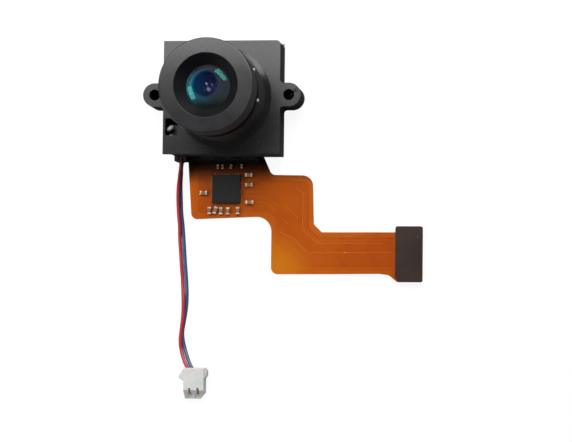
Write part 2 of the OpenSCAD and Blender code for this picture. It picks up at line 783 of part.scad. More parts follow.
// Bead of black sealant between the holder's lower edge and the flexible circuit
module board_seal() {
  bead_h = 0.75;
  bead_w = 0.85;
  steps = 6;
  profile = concat([[0, 0]], [
    for (i = [0:steps])
      let (a = 90 * i / steps)
      [bead_w * (1 - sin(a) * 0.85) - 0.02 * i, bead_h * (1 - cos(a) * 0.92)]
  ]);
  color([0.07, 0.07, 0.07])
    translate([outlet_x + outlet_w + 0.05, -holder_d / 2, board_z])
      rotate([90, 0, 90])
        linear_extrude(height = 11.3)
          polygon([for (p = profile) [-p[0], p[1]]]);
}

// Plug of black glue in the outlet slot, with the wires straight through it
module wire_seal() {
  front = -holder_d / 2 - outlet_reach;
  color([0.05, 0.05, 0.05])
    difference() {
      union() {
        block([outlet_x - outlet_w / 2, front, floor_z], [outlet_x + outlet_w / 2, -holder_d / 2, seam_z]);
        intersection() {
          translate([outlet_x, front + 0.4, 2.45]) sphere(r = 0.75);
          block([outlet_x - 2, front - 1, floor_z - 1], [outlet_x + 2, front, seam_z + 1]);
        }
      }
      for (z = [red_route[4][2], blue_route[4][2]])
        translate([outlet_x, 0, z]) rotate([90, 0, 0]) cylinder(d = wire_d, h = 12);
    }
}

module red_wire() {
  color([0.75, 0.2, 0.22]) wire_tube(red_route, wire_d);
}

module blue_wire() {
  color([0.18, 0.32, 0.48]) wire_tube(blue_route, wire_d);
}

// Two-way housing with a sloping mouth, side ribs and a window over each contact
module plug_housing() {
  rib_z = 0.3;
  rib_h = 1.6;
  color([0.82, 0.82, 0.8])
    difference() {
      union() {
        translate([plug_x[0], 0, 0])
          rotate([90, 0, 90])
            linear_extrude(height = plug_x[1] - plug_x[0])
              polygon([
                [plug_y[0], 0], [plug_y[1], 0], [plug_y[1], plug_h - 0.15], [plug_y[1] - 0.15, plug_h],
                [plug_y[0] + 1.3, plug_h], [plug_y[0], 0.8]
              ]);
        // left and right ribs
        translate([0, 0, rib_z])
          linear_extrude(height = rib_h)
            polygon([
              [plug_x[0] + 0.2, plug_y[1] - 0.05], [plug_x[0], plug_y[1] - 0.05],
              [plug_x[0] - 0.8, plug_y[1] - 1.15], [plug_x[0] - 0.8, plug_y[1] - 1.55],
              [plug_x[0], plug_y[1] - 2], [plug_x[0] + 0.2, plug_y[1] - 2]
            ]);
        translate([0, 0, rib_z])
          linear_extrude(height = rib_h)
            polygon([
              [plug_x[1] - 0.2, plug_y[1] - 1.7], [plug_x[1], plug_y[1] - 1.7],
              [plug_x[1] + 0.35, plug_y[1] - 1.1], [plug_x[1] + 0.35, plug_y[1] - 0.4],
              [plug_x[1] + 0.1, plug_y[1] - 0.05], [plug_x[1] - 0.2, plug_y[1] - 0.05]
            ]);
      }
      // rear mouth for the wires, and a cavity for each contact
      block([plug_x[0] + 0.08, plug_y[1] - 1.4, 1], [plug_x[1] - 0.3, plug_y[1] + 1, 1.9]);
      for (side = [-1, 1])
        translate([plug_mid_x + side * plug_pitch / 2, 0, 0]) {
          block([-cavity_w / 2, plug_y[0] - 1, cavity_z], [cavity_w / 2, plug_y[1] - 1.3, cavity_z + 0.95]);
          block([-0.2, plug_y[0] + 0.8, 1.5], [0.2, plug_y[0] + 1.6, plug_h + 1]);
        }
      // bevelled lower right corner
      translate([plug_x[1], plug_y[0], -1])
        rotate([0, 0, 50])
          cube([2.4, 1.2, 8], center = true);
    }
}

// Crimp contacts on the floors of the plug's cavities, open at the front end
module plug_terminals() {
  half = 0.36;
  sheet = 0.12;
  height = 0.72;
  color([0.8, 0.76, 0.66])
    for (side = [-1, 1])
      translate([plug_mid_x + side * plug_pitch / 2, 0, cavity_z])
        difference() {
          block([-half, plug_y[0] + 0.75, 0], [half, plug_y[1] - 1.7, height]);
          block([-half + sheet, plug_y[0], sheet], [half - sheet, plug_y[0] + 2.2, height - sheet]);
        }
}

front_housing();
rear_housing();
filter_frame();
ir_filter();
clear_filter();
rotor_magnet();
rotor_arm();
rotor_pin();
coil_bobbin();
coil_winding();
coil_yoke();
coil_terminals();
lens_barrel();
front_retainer();
front_element();
second_element();
lens_spacer();
aperture_ring();
third_element();
rear_element();
rear_retainer();
thread_glue();
sensor_package();
sensor_glass();
flex_circuit();
sensor_stiffener();
chip_stiffener();
connector_stiffener();
board_connector();
connector_contacts();
control_chip();
chip_joints();
capacitors();
capacitor_ends();
board_seal();
wire_seal();
red_wire();
blue_wire();
plug_housing();
plug_terminals();
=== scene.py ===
import json
import bmesh
import bpy
import numpy as np
from mathutils import Matrix, Vector

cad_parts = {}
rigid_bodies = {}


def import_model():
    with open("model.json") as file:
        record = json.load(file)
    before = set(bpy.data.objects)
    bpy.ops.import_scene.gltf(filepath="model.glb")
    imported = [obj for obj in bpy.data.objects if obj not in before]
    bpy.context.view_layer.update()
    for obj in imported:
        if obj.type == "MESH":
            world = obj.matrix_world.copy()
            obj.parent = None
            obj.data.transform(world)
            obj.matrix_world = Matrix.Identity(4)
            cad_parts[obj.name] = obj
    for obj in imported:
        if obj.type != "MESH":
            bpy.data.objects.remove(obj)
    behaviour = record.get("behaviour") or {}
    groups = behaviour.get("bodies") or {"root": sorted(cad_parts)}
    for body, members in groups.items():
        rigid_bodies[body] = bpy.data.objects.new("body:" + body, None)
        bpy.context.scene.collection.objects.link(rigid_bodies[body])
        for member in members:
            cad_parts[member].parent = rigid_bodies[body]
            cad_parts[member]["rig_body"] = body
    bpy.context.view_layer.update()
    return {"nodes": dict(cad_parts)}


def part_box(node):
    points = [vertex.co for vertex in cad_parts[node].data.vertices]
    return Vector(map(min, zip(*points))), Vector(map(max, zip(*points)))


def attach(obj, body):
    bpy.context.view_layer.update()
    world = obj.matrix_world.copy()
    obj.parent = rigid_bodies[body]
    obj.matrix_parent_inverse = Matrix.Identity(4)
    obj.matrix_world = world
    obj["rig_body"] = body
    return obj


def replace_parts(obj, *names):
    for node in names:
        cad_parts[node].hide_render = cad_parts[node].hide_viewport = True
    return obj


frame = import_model()
cad = frame["nodes"]
mm = 0.001
print("frame loaded:", len(cad), "nodes")

cameraPlace = {
    "position": (46.67, -35.42, 297.12),
    "target": (9.08, -17.92, 0),
    "roll": 0.63,
    "lens": 126.6,
    "sensor": 36,
    "clip": (0.01, 10),
}


def makeCamera(place):
    # looks from position to target with +Y up, then rolls about its own axis
    position, target = (np.array(place[key]) * mm for key in ("position", "target"))
    back = (position - target) / np.linalg.norm(position - target)
    right = np.cross((0, 1, 0), back)
    right /= np.linalg.norm(right)
    up = np.cross(back, right)
    turn = np.radians(place["roll"])
    right, up = np.cos(turn) * right + np.sin(turn) * up, np.cos(turn) * up - np.sin(turn) * right
    data = bpy.data.cameras.new("camera")
    data.lens, data.sensor_width = place["lens"], place["sensor"]
    data.clip_start, data.clip_end = place["clip"]
    camera = bpy.data.objects.new("camera", data)
    stance = np.column_stack([right, up, back, position])
    camera.matrix_world = Matrix(np.vstack([stance, (0, 0, 0, 1)]).tolist())
    bpy.context.scene.collection.objects.link(camera)
    bpy.context.scene.camera = camera


makeCamera(cameraPlace)
print("camera placed")


def gridFaces(rows, columns, closeRows, closeColumns):
    # quads between neighbouring rows and columns of a grid, joined end to end where it closes
    row = np.arange(rows if closeRows else rows - 1)[:, None]
    column = np.arange(columns if closeColumns else columns - 1)[None, :]
    nextRow, nextColumn = (row + 1) % rows, (column + 1) % columns
    corners = [row * columns + column, row * columns + nextColumn,
               nextRow * columns + nextColumn, nextRow * columns + column]
    return np.stack([np.broadcast_to(c, (row.size, column.size)) for c in corners], -1).reshape(-1, 4)


def meshPiece(name, points, faces, body, slot, material, smooth=True):
    # points are in millimetres; doubled points, as at a pole, are merged
    mesh = bpy.data.meshes.new(name)
    mesh.from_pydata((np.asarray(points).reshape(-1, 3) * mm).tolist(), [], [list(f) for f in faces])
    form = bmesh.new()
    form.from_mesh(mesh)
    bmesh.ops.remove_doubles(form, verts=form.verts, dist=1e-7)
    bmesh.ops.recalc_face_normals(form, faces=form.faces)
    form.to_mesh(mesh)
    form.free()
    return placePiece(name, mesh, body, material, smooth)


def placePiece(name, mesh, body, material, smooth=True):
    # the mesh as an object that carries its material and rides on its body
    mesh.polygons.foreach_set("use_smooth", np.full(len(mesh.polygons), smooth))
    mesh.materials.clear()
    mesh.materials.append(material)
    piece = bpy.data.objects.new(name, mesh)
    bpy.context.scene.collection.objects.link(piece)
    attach(piece, body)
    return piece


def sharpen(piece, angle=35):
    # edges that turn by more than the angle, in degrees, stay crisp
    piece.data.set_sharp_from_angle(angle=np.radians(angle))
    return piece


def roundedOutline(corners, steps=5, apart=0.01):
    # each corner (x, y, radius) becomes an arc that touches both of its sides, with one point more
    # on each side, so that smooth shading bends over the arc alone; where the outline runs nearly
    # straight on, the corner stays a point
    spots = np.array([c[:2] for c in corners], float)
    arcs = []
    for here, before, after, corner in zip(spots, np.roll(spots, 1, 0), np.roll(spots, -1, 0), corners):
        inward, outward = (v / np.linalg.norm(v) for v in (before - here, after - here))
        half = np.arccos(np.clip(inward @ outward, -1, 1)) / 2
        if corner[2] == 0 or half > 1.55:
            arcs.append(here[None])
            continue
        middle = inward + outward
        centre = here + middle / np.linalg.norm(middle) * corner[2] / np.sin(half)
        reach = corner[2] / np.tan(half)
        start = here + inward * reach - centre
        sense = np.sign(outward[0] * inward[1] - outward[1] * inward[0])
        angle = np.linspace(0, sense * (np.pi - 2 * half), steps + 1)[:, None]
        arc = centre + np.cos(angle) * start + np.sin(angle) * start[::-1] * (-1, 1)
        arcs.append(np.vstack([here + inward * (reach + apart), arc, here + outward * (reach + apart)]))
    return np.concatenate(arcs)


def latheGrid(profile, steps=160):
    # each profile point (radius, height) goes once round the lens axis
    angle = np.linspace(0, 2 * np.pi, steps, endpoint=False)
    radius, height = (np.asarray(profile, float)[:, k, None] for k in (0, 1))
    return np.stack([radius * np.cos(angle), radius * np.sin(angle), height + 0 * angle], -1)


def lathePiece(name, profile, body, slot, material, closed=True, steps=160, angle=35):
    grid = latheGrid(profile, steps)
    piece = meshPiece(name, grid, gridFaces(len(grid), steps, closed, True), body, slot, material)
    return sharpen(piece, angle)


def smoothRoute(points, perSpan=8):
    # Catmull-Rom curve: a cubic between each two points whose slopes come from their neighbours
    p = np.asarray(points, float)
    p = np.vstack([2 * p[0] - p[1], p, 2 * p[-1] - p[-2]])
    t = np.linspace(0, 1, perSpan, endpoint=False)[None, :, None]
    a, b, c, d = (p[k:len(p) - 3 + k, None] for k in range(4))
    curve = 0.5 * (2 * b + (c - a) * t + (2 * a - 5 * b + 4 * c - d) * t ** 2
                   + (3 * b - a - 3 * c + d) * t ** 3)
    return np.vstack([curve.reshape(-1, 3), p[-2]])


def tubeGrid(path, radius, sides):
    # a circle of the given radius round every point of the path, square to it
    ahead = np.gradient(path, axis=0)
    ahead /= np.linalg.norm(ahead, axis=1, keepdims=True)
    across = np.cross(ahead, (0, 0, 1))
    across /= np.linalg.norm(across, axis=1, keepdims=True)
    over = np.cross(across, ahead)
    angle = np.linspace(0, 2 * np.pi, sides, endpoint=False)[None, :, None]
    ring = np.cos(angle) * across[:, None] + np.sin(angle) * over[:, None]
    return path[:, None] + np.reshape(radius, (-1, 1, 1)) * ring


def ballGrid(rows, columns):
    # a ball of radius 1: each row is a ring, from the top pole to the bottom one
    polar = np.linspace(0, np.pi, rows)[:, None]
    around = np.linspace(0, 2 * np.pi, columns, endpoint=False)[None, :]
    ring = np.sin(polar)
    return np.stack([ring * np.cos(around), ring * np.sin(around), np.cos(polar) + 0 * around], -1)


def stacked(parts):
    # the points and faces of several forms as those of one mesh
    points, faces, first = [], [], 0
    for spots, corners in parts:
        points.append(np.reshape(spots, (-1, 3)))
        faces += [np.asarray(c) + first for c in corners]
        first += len(points[-1])
    return np.vstack(points), faces


def joinedCopy(node):
    # the CAD node's own form at millimetre size, its triangles merged and its flat faces joined
    mesh = cad[node].data.copy()
    if "custom_normal" in mesh.attributes:
        mesh.attributes.remove(mesh.attributes["custom_normal"])
    mesh.transform(Matrix.Scale(1 / mm, 4))
    form = bmesh.new()
    form.from_mesh(mesh)
    bmesh.ops.remove_doubles(form, verts=form.verts, dist=0.002)
    bmesh.ops.dissolve_limit(form, angle_limit=np.radians(0.5), verts=form.verts, edges=form.edges)
    for edge in form.edges:
        edge.smooth = True
    form.to_mesh(mesh)
    form.free()
    return mesh


def easedCopy(name, node, width, material, segments=3, angle=30):
    # a joined copy whose sharp edges are rounded, brought back to metres
    draft = bpy.data.objects.new("draft", joinedCopy(node))
    bpy.context.scene.collection.objects.link(draft)
    bevel = draft.modifiers.new("easedEdges", "BEVEL")
    bevel.width, bevel.segments = width, segments
    bevel.limit_method, bevel.angle_limit = "ANGLE", np.radians(angle)
    bevel.miter_outer = "MITER_ARC"
    graph = bpy.context.evaluated_depsgraph_get()
    mesh = bpy.data.meshes.new_from_object(draft.evaluated_get(graph))
    mesh.transform(Matrix.Scale(mm, 4))
    bpy.data.objects.remove(draft)
    piece = placePiece(name, mesh, cad[node]["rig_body"], material)
    piece.modifiers.new("evenShading", "WEIGHTED_NORMAL").keep_sharp = True
    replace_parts(piece, node)
    return piece


def addNode(tree, kind, inputs=(), **settings):
    # each input takes a constant, or a link where another node's socket is given
    node = tree.nodes.new(kind)
    for key, value in settings.items():
        setattr(node, key, value)
    for key, value in dict(inputs).items():
        if isinstance(value, bpy.types.NodeSocket):
            tree.links.new(value, node.inputs[key])
        else:
            node.inputs[key].default_value = value
    return node


def makeGroup(name, inputs, outputs):
    # an empty node group, and the sockets that bring its inputs in and take its outputs out
    group = bpy.data.node_groups.new(name, "ShaderNodeTree")
    for title, kind, value in inputs:
        socket = group.interface.new_socket(title, in_out="INPUT", socket_type=kind)
        if value is not None:
            socket.default_value = value
    for title, kind in outputs:
        group.interface.new_socket(title, in_out="OUTPUT", socket_type=kind)
    return group, group.nodes.new("NodeGroupInput").outputs, group.nodes.new("NodeGroupOutput").inputs


def figure(tree, operation, first, second):
    return addNode(tree, "ShaderNodeMath", {0: first, 1: second}, operation=operation).outputs[0]


def arrow(tree, operation, first, second=(0, 0, 0)):
    # a distance is a plain value, and every other result a vector
    node = addNode(tree, "ShaderNodeVectorMath", {0: first, 1: second}, operation=operation)
    return node.outputs["Value" if operation == "DISTANCE" else "Vector"]


def axes(tree, vector):
    return addNode(tree, "ShaderNodeSeparateXYZ", {0: vector}).outputs


def objectPlace(tree):
    return addNode(tree, "ShaderNodeTexCoord").outputs["Object"]


def grainGroup():
    # fine even noise for moulded and blasted surfaces, with broad soft patches beside it
    group, given, out = makeGroup(
        "surfaceGrain",
        [("Vector", "NodeSocketVector", None), ("Scale", "NodeSocketFloat", 4000.0),
         ("Patch Scale", "NodeSocketFloat", 250.0)],
        [("Height", "NodeSocketFloat"), ("Patches", "NodeSocketFloat")])
    fine = addNode(group, "ShaderNodeTexNoise", {"Vector": given["Vector"], "Scale": given["Scale"],
                                                 "Detail": 3.0, "Roughness": 0.6})
    broad = addNode(group, "ShaderNodeTexNoise", {"Vector": given["Vector"], "Scale": given["Patch Scale"],
                                                  "Detail": 4.0, "Roughness": 0.55, "Distortion": 0.4})
    group.links.new(fine.outputs["Fac"], out["Height"])
    group.links.new(broad.outputs["Fac"], out["Patches"])
    return group


def speckGroup():
    # small scattered specks of dust: the brightest points of a fine noise
    group, given, out = makeGroup(
        "dustSpecks",
        [("Vector", "NodeSocketVector", None), ("Scale", "NodeSocketFloat", 2500.0),
         ("Threshold", "NodeSocketFloat", 0.7)],
        [("Mask", "NodeSocketFloat")])
    noise = addNode(group, "ShaderNodeTexNoise", {"Vector": given["Vector"], "Scale": given["Scale"],
                                                  "Detail": 1.0, "Roughness": 0.4})
    top = figure(group, "ADD", given["Threshold"], 0.06)
    group.links.new(ramp(group, noise.outputs["Fac"], given["Threshold"], top), out["Mask"])
    return group


def brushGroup():
    # long fine lines along X, as rolling or brushing leaves them
    group, given, out = makeGroup(
        "brushLines",
        [("Vector", "NodeSocketVector", None), ("Scale", "NodeSocketFloat", 3000.0)],
        [("Height", "NodeSocketFloat")])
    stretch = addNode(group, "ShaderNodeMapping", {"Vector": given["Vector"], "Scale": (0.04, 1, 1)})
    noise = addNode(group, "ShaderNodeTexNoise", {"Vector": stretch.outputs["Vector"],
                                                  "Scale": given["Scale"], "Detail": 2.0})
    group.links.new(noise.outputs["Fac"], out["Height"])
    return group


def blend(tree, factor, first, second):
    # the first colour where the factor is 0, the second where it is 1
    mix = addNode(tree, "ShaderNodeMix", data_type="RGBA")
    for socket, value in ((mix.inputs[0], factor), (mix.inputs[6], first), (mix.inputs[7], second)):
        if isinstance(value, bpy.types.NodeSocket):
            tree.links.new(value, socket)
        else:
            socket.default_value = value if isinstance(value, float) else (*value, 1)
    return mix.outputs[2]


def ramp(tree, value, low, high, first=0.0, last=1.0):
    # goes evenly from first to last while the value goes from low to high
    return addNode(tree, "ShaderNodeMapRange", {"Value": value, "From Min": low, "From Max": high,
                                                "To Min": first, "To Max": last}).outputs["Result"]


def tinted(tree, factor, colour, tint):
    # the colour times the tint, as far as the factor says
    return addNode(tree, "ShaderNodeMix", {0: factor, 6: colour, 7: (*tint, 1)}, data_type="RGBA",
                   blend_type="MULTIPLY").outputs[2]


effects = {"grain": grainGroup(), "specks": speckGroup(), "brush": brushGroup()}


def plainMaterial(name, sockets=()):
    # a material with only the constants of its sockets
    material = bpy.data.materials.new(name)
    material.use_nodes = True
    tree = material.node_tree
    shader = tree.nodes["Principled BSDF"]
    for socket, value in dict(sockets).items():
        shader.inputs[socket].default_value = value
    return material, tree, shader


def surface(name, look):
    # one finish: two colours mixed by soft patches, dust on top, and grain in the bump
    material, tree, shader = plainMaterial(name, look.get("shader", {}))
    where = objectPlace(tree)
    grain = addNode(tree, "ShaderNodeGroup", node_tree=effects["grain"])
    tree.links.new(where, grain.inputs["Vector"])
    grain.inputs["Scale"].default_value = look.get("grain", 4000.0)
    grain.inputs["Patch Scale"].default_value = look.get("patch", 250.0)
    patches = ramp(tree, grain.outputs["Patches"], 0.35, 0.65)
    colour = blend(tree, patches, look["colour"], look.get("colour2", look["colour"]))
    if "dust" in look:
        specks = addNode(tree, "ShaderNodeGroup", node_tree=effects["specks"])
        tree.links.new(where, specks.inputs["Vector"])
        specks.inputs["Scale"].default_value = look.get("dustScale", 2500.0)
        specks.inputs["Threshold"].default_value = look["dust"]
        colour = blend(tree, specks.outputs["Mask"], colour, look.get("dustColour", (0.3, 0.3, 0.3)))
    tree.links.new(colour, shader.inputs["Base Color"])
    low, high = look.get("roughness", (0.45, 0.55))
    rough = ramp(tree, grain.outputs["Patches"], 0.3, 0.7, low, high)
    if "walls" in look:
        # upright faces, which slid along the mould, are duller than level ones
        facing = axes(tree, addNode(tree, "ShaderNodeNewGeometry").outputs["Normal"])
        level = ramp(tree, facing["Z"], 0.3, 0.8)
        rough = addNode(tree, "ShaderNodeMix", {0: level, 2: look["walls"], 3: rough}).outputs[0]
    tree.links.new(rough, shader.inputs["Roughness"])
    height = grain.outputs["Height"]
    if look.get("brushed"):
        lines = addNode(tree, "ShaderNodeGroup", node_tree=effects["brush"])
        tree.links.new(where, lines.inputs["Vector"])
        height = lines.outputs["Height"]
    bump = addNode(tree, "ShaderNodeBump", {"Height": height, "Strength": look.get("bump", 0.2),
                                            "Distance": look.get("depth", 0.01) * mm})
    tree.links.new(bump.outputs["Normal"], shader.inputs["Normal"])
    return material, tree, shader, where, colour


looks = {
    "housing_plastic": {"colour": (0.0105, 0.0105, 0.0115), "colour2": (0.0155, 0.015, 0.016),
                        "patch": 160.0, "grain": 5200.0, "bump": 0.12, "depth": 0.005,
                        "roughness": (0.21, 0.27), "walls": 0.85,
                        "dust": 0.745, "dustColour": (0.06, 0.06, 0.06)},
    "rear_plastic": {"colour": (0.016, 0.016, 0.0175), "colour2": (0.028, 0.028, 0.03), "patch": 400.0,
                     "grain": 3500.0, "bump": 0.4, "depth": 0.015, "roughness": (0.35, 0.5), "walls": 0.8,
                     "dust": 0.72, "dustScale": 1500.0, "dustColour": (0.1, 0.1, 0.105)},
    "anodised_black": {"colour": (0.013, 0.013, 0.014), "colour2": (0.018, 0.018, 0.0195), "patch": 300.0,
                       "grain": 7000.0, "bump": 0.12, "depth": 0.004, "roughness": (0.16, 0.2), "walls": 0.7,
                       "dust": 0.77, "dustColour": (0.07, 0.07, 0.07)},
    "retainer_black": {"colour": (0.003, 0.003, 0.0033), "colour2": (0.006, 0.006, 0.0065),
                       "grain": 7000.0, "bump": 0.2, "roughness": (0.5, 0.6),
                       "shader": {"Specular IOR Level": 0.3}},
    "slide_plastic": {"colour": (0.03, 0.03, 0.032), "roughness": (0.45, 0.55)},
    "magnet": {"colour": (0.2, 0.2, 0.21), "colour2": (0.26, 0.26, 0.27), "roughness": (0.35, 0.5),
               "shader": {"Metallic": 1.0}},
    "white_plastic": {"colour": (0.75, 0.75, 0.7), "roughness": (0.4, 0.5)},
    "steel": {"colour": (0.45, 0.45, 0.46), "colour2": (0.52, 0.52, 0.53), "roughness": (0.28, 0.4),
              "brushed": True, "shader": {"Metallic": 1.0}},
    "bobbin_plastic": {"colour": (0.012, 0.012, 0.013), "colour2": (0.02, 0.02, 0.021), "patch": 600.0,
                       "roughness": (0.5, 0.6)},
    "enamelled_copper": {"colour": (0.55, 0.2, 0.06), "colour2": (0.65, 0.27, 0.08), "roughness": (0.2, 0.3),
                         "brushed": True, "bump": 0.6, "shader": {"Metallic": 1.0}},
    "solder": {"colour": (0.72, 0.71, 0.69), "colour2": (0.5, 0.49, 0.48), "patch": 2500.0, "grain": 3000.0,
               "bump": 0.4, "depth": 0.03, "roughness": (0.25, 0.45), "shader": {"Metallic": 0.75}},
    "joint_solder": {"colour": (0.34, 0.25, 0.17), "colour2": (0.2, 0.13, 0.08), "patch": 3000.0,
                     "roughness": (0.35, 0.5), "shader": {"Metallic": 0.5}},
    "pin_solder": {"colour": (0.72, 0.72, 0.7), "colour2": (0.5, 0.5, 0.49), "patch": 1500.0,
                   "roughness": (0.25, 0.4), "shader": {"Metallic": 0.3}},
    "tinned_ends": {"colour": (0.816, 0.675, 0.546), "colour2": (0.632, 0.504, 0.39), "patch": 2500.0,
                    "grain": 3000.0, "bump": 0.3, "roughness": (0.25, 0.4), "shader": {"Metallic": 0.35}},
    "clear_glue": {"colour": (0.5, 0.5, 0.48), "colour2": (0.62, 0.62, 0.6), "roughness": (0.1, 0.18),
                   "shader": {"Coat Weight": 0.6}},
    "sensor_ceramic": {"colour": (0.05, 0.05, 0.055), "colour2": (0.07, 0.07, 0.075),
                       "roughness": (0.5, 0.6)},
    "stiffener_plate": {"colour": (0.42, 0.42, 0.43), "colour2": (0.5, 0.5, 0.51), "patch": 120.0,
                        "roughness": (0.3, 0.42), "brushed": True, "bump": 0.25, "depth": 0.01,
                        "dust": 0.74, "dustColour": (0.2, 0.19, 0.18), "shader": {"Metallic": 1.0}},
    "brown_stiffener": {"colour": (0.026, 0.013, 0.0085), "colour2": (0.035, 0.019, 0.013), "patch": 220.0,
                        "grain": 5000.0, "bump": 0.2, "depth": 0.01, "roughness": (0.42, 0.55),
                        "walls": 0.7, "dust": 0.75, "dustColour": (0.1, 0.08, 0.065),
                        "shader": {"Specular IOR Level": 0.3}},
    "connector_plastic": {"colour": (0.62, 0.58, 0.47), "colour2": (0.68, 0.64, 0.53),
                          "roughness": (0.4, 0.5)},
    "gold_contacts": {"colour": (0.75, 0.52, 0.2), "colour2": (0.8, 0.58, 0.24), "roughness": (0.2, 0.3),
                      "shader": {"Metallic": 1.0}},
    "chip_epoxy": {"colour": (0.006, 0.0055, 0.0055), "colour2": (0.009, 0.008, 0.008), "patch": 500.0,
                   "grain": 6000.0, "bump": 0.3, "depth": 0.01, "roughness": (0.5, 0.6),
                   "dust": 0.75, "dustColour": (0.07, 0.07, 0.07), "shader": {"Specular IOR Level": 0.3}},
    "capacitor_ceramic": {"colour": (0.23, 0.11, 0.055), "colour2": (0.3, 0.17, 0.095), "patch": 2000.0,
                          "roughness": (0.35, 0.45)},
    # black_sealant: a sealant's own near black, darkened further to stand in for the deep shade under the
    # holder
    "black_sealant": {"colour": (0.003, 0.003, 0.003), "colour2": (0.006, 0.005, 0.005), "patch": 500.0,
                      "grain": 1500.0, "bump": 0.3, "depth": 0.03, "roughness": (0.4, 0.6),
                      "shader": {"Specular IOR Level": 0.22}},
    "tinned_contacts": {"colour": (0.6, 0.57, 0.5), "colour2": (0.66, 0.63, 0.56), "roughness": (0.25, 0.35),
                        "shader": {"Metallic": 1.0}},
}
materials = {name: surface(name, look)[0] for name, look in looks.items()}


def glassMaterial(name, look):
    # polished glass whose reflections take the colour of its coating
    material, tree, shader = plainMaterial(name, look["shader"])
    noise = addNode(tree, "ShaderNodeTexNoise", {"Vector": objectPlace(tree), "Scale": 400.0})
    smudge = noise.outputs["Fac"]
    tree.links.new(ramp(tree, smudge, 0.3, 0.8, *look["roughness"]), shader.inputs["Roughness"])
    tree.links.new(blend(tree, smudge, look["colour"], look["colour2"]), shader.inputs["Base Color"])
    return material


glassLooks = {
    "clear_glass": {"colour": (0.93, 0.97, 0.97), "colour2": (0.96, 0.99, 0.99), "roughness": (0.0, 0.02),
                    "shader": {"Transmission Weight": 1.0, "IOR": 1.5}},
    "ir_filter_glass": {"colour": (0.35, 0.75, 0.75), "colour2": (0.4, 0.8, 0.78),
                        "roughness": (0.0, 0.02),
                        "shader": {"Transmission Weight": 1.0, "IOR": 1.5,
                                   "Specular Tint": (1.0, 0.4, 0.6, 1)}},
    "hidden_glass": {"colour": (0.2, 0.35, 0.6), "colour2": (0.25, 0.4, 0.65), "roughness": (0.0, 0.02),
                     "shader": {"Transmission Weight": 1.0, "IOR": 1.6}},
}
materials.update({name: glassMaterial(name, look) for name, look in glassLooks.items()})


# painted reflections and coating colours, which the front glass gives out as emission: a painted glow
frontLook = {
    "pane": {"colour": (0.5, 0.62, 0.64), "colour2": (0.55, 0.66, 0.68), "roughness": (0.03, 0.035),
             "shader": {"Transmission Weight": 1.0, "IOR": 1.5, "Specular Tint": (0.12, 1.0, 0.8, 1),
                        "Emission Strength": 1.0}},
    "clear": {"centre": (-0.37, 0.44), "squash": 0.95, "top": (0.0015, 0.001, 0.012),
              "side": (0.001, 0.01, 0.04), "low": (0.004, 0.002, 0.01), "riseY": (-1.2, 1.4),
              "sideX": (-1.9, -0.1), "rimLeft": (0.002, 0.04, 0.075), "rimRight": (0.014, 0.022, 0.036),
              "rimX": (-2.2, 0.6), "rim": (1.6185, 1.872)},
    # violet and spot: painted reflections of the inner elements
    "violet": {"centre": (0.5, 0.05), "span": (0.1, 1.0), "colour": (0.012, 0.003, 0.03)},
    "spot": {"centre": (0.13, -0.36), "span": (0.1, 0.33), "colour": (0.12, 0.09, 0.17)},
    # ring: a painted reflection of the retainer round the rim, teal at the left and dark at the bottom
    "ring": {"left": (0.017, 0.058, 0.072), "top": (0.016, 0.014, 0.02), "right": (0.015, 0.015, 0.019),
             "low": (0.004, 0.004, 0.004), "sideX": (-1.9, 0.9), "topY": (1.0, 2.4), "lowY": (-2.6, -1.0),
             "edge": (1.8915, 2.067)},
}
# inner glass colours: the lighter blue and teal round litSpot are painted light, and glow sets a painted
# glow
innerLook = {
    "centre": (-0.45, 0.5), "edge": (1.9995, 2.2575), "glow": 0.1,
    "litSpot": (-1.45, 0.7), "blueSpan": (0.5, 2.6), "tealSpan": (1.8, 4.2),
    "violetSpot": (0.55, -0.4), "violetSpan": (0.3, 1.3),
    "blue": (0.003, 0.02, 0.06), "deep": (0.003, 0.009, 0.03), "violet": (0.04, 0.016, 0.07),
    "teal": (0.018, 0.085, 0.1), "grey": (0.02, 0.024, 0.027),
}


def awayFrom(tree, where, centre, span, squash=1):
    # rises from 0 to 1 over the span of distances from the centre, seen in plan; squash shortens Y
    flat = arrow(tree, "MULTIPLY", where, (1, squash, 0))
    spot = (centre[0] * mm, centre[1] * squash * mm, 0)
    return ramp(tree, arrow(tree, "DISTANCE", flat, spot), span[0] * mm, span[1] * mm)


def innerGlass(look):
    # dark coated glass: deep blue in its clear middle, violet to one side, teal and then grey round it;
    # the lighter blue and the teal round the lit spot are painted light, and all of it glows as emission
    material, tree, shader, where, _ = surface("inner_glass", {
        "colour": look["blue"], "roughness": (0.02, 0.04), "bump": 0.0,
        "shader": {"IOR": 1.5, "Specular Tint": (0.1, 0.75, 1.0, 1), "Emission Strength": look["glow"]}})

    def away(spot, span):
        return awayFrom(tree, where, look[spot], look[span])

    blue = blend(tree, away("litSpot", "blueSpan"), look["blue"], look["deep"])
    core = blend(tree, away("violetSpot", "violetSpan"), look["violet"], blue)
    outer = blend(tree, away("litSpot", "tealSpan"), look["teal"], look["grey"])
    whole = blend(tree, away("centre", "edge"), core, outer)
    # the same colours feed the emission: a painted glow
    for socket in ("Base Color", "Emission Color"):
        tree.links.new(whole, shader.inputs[socket])
    return material


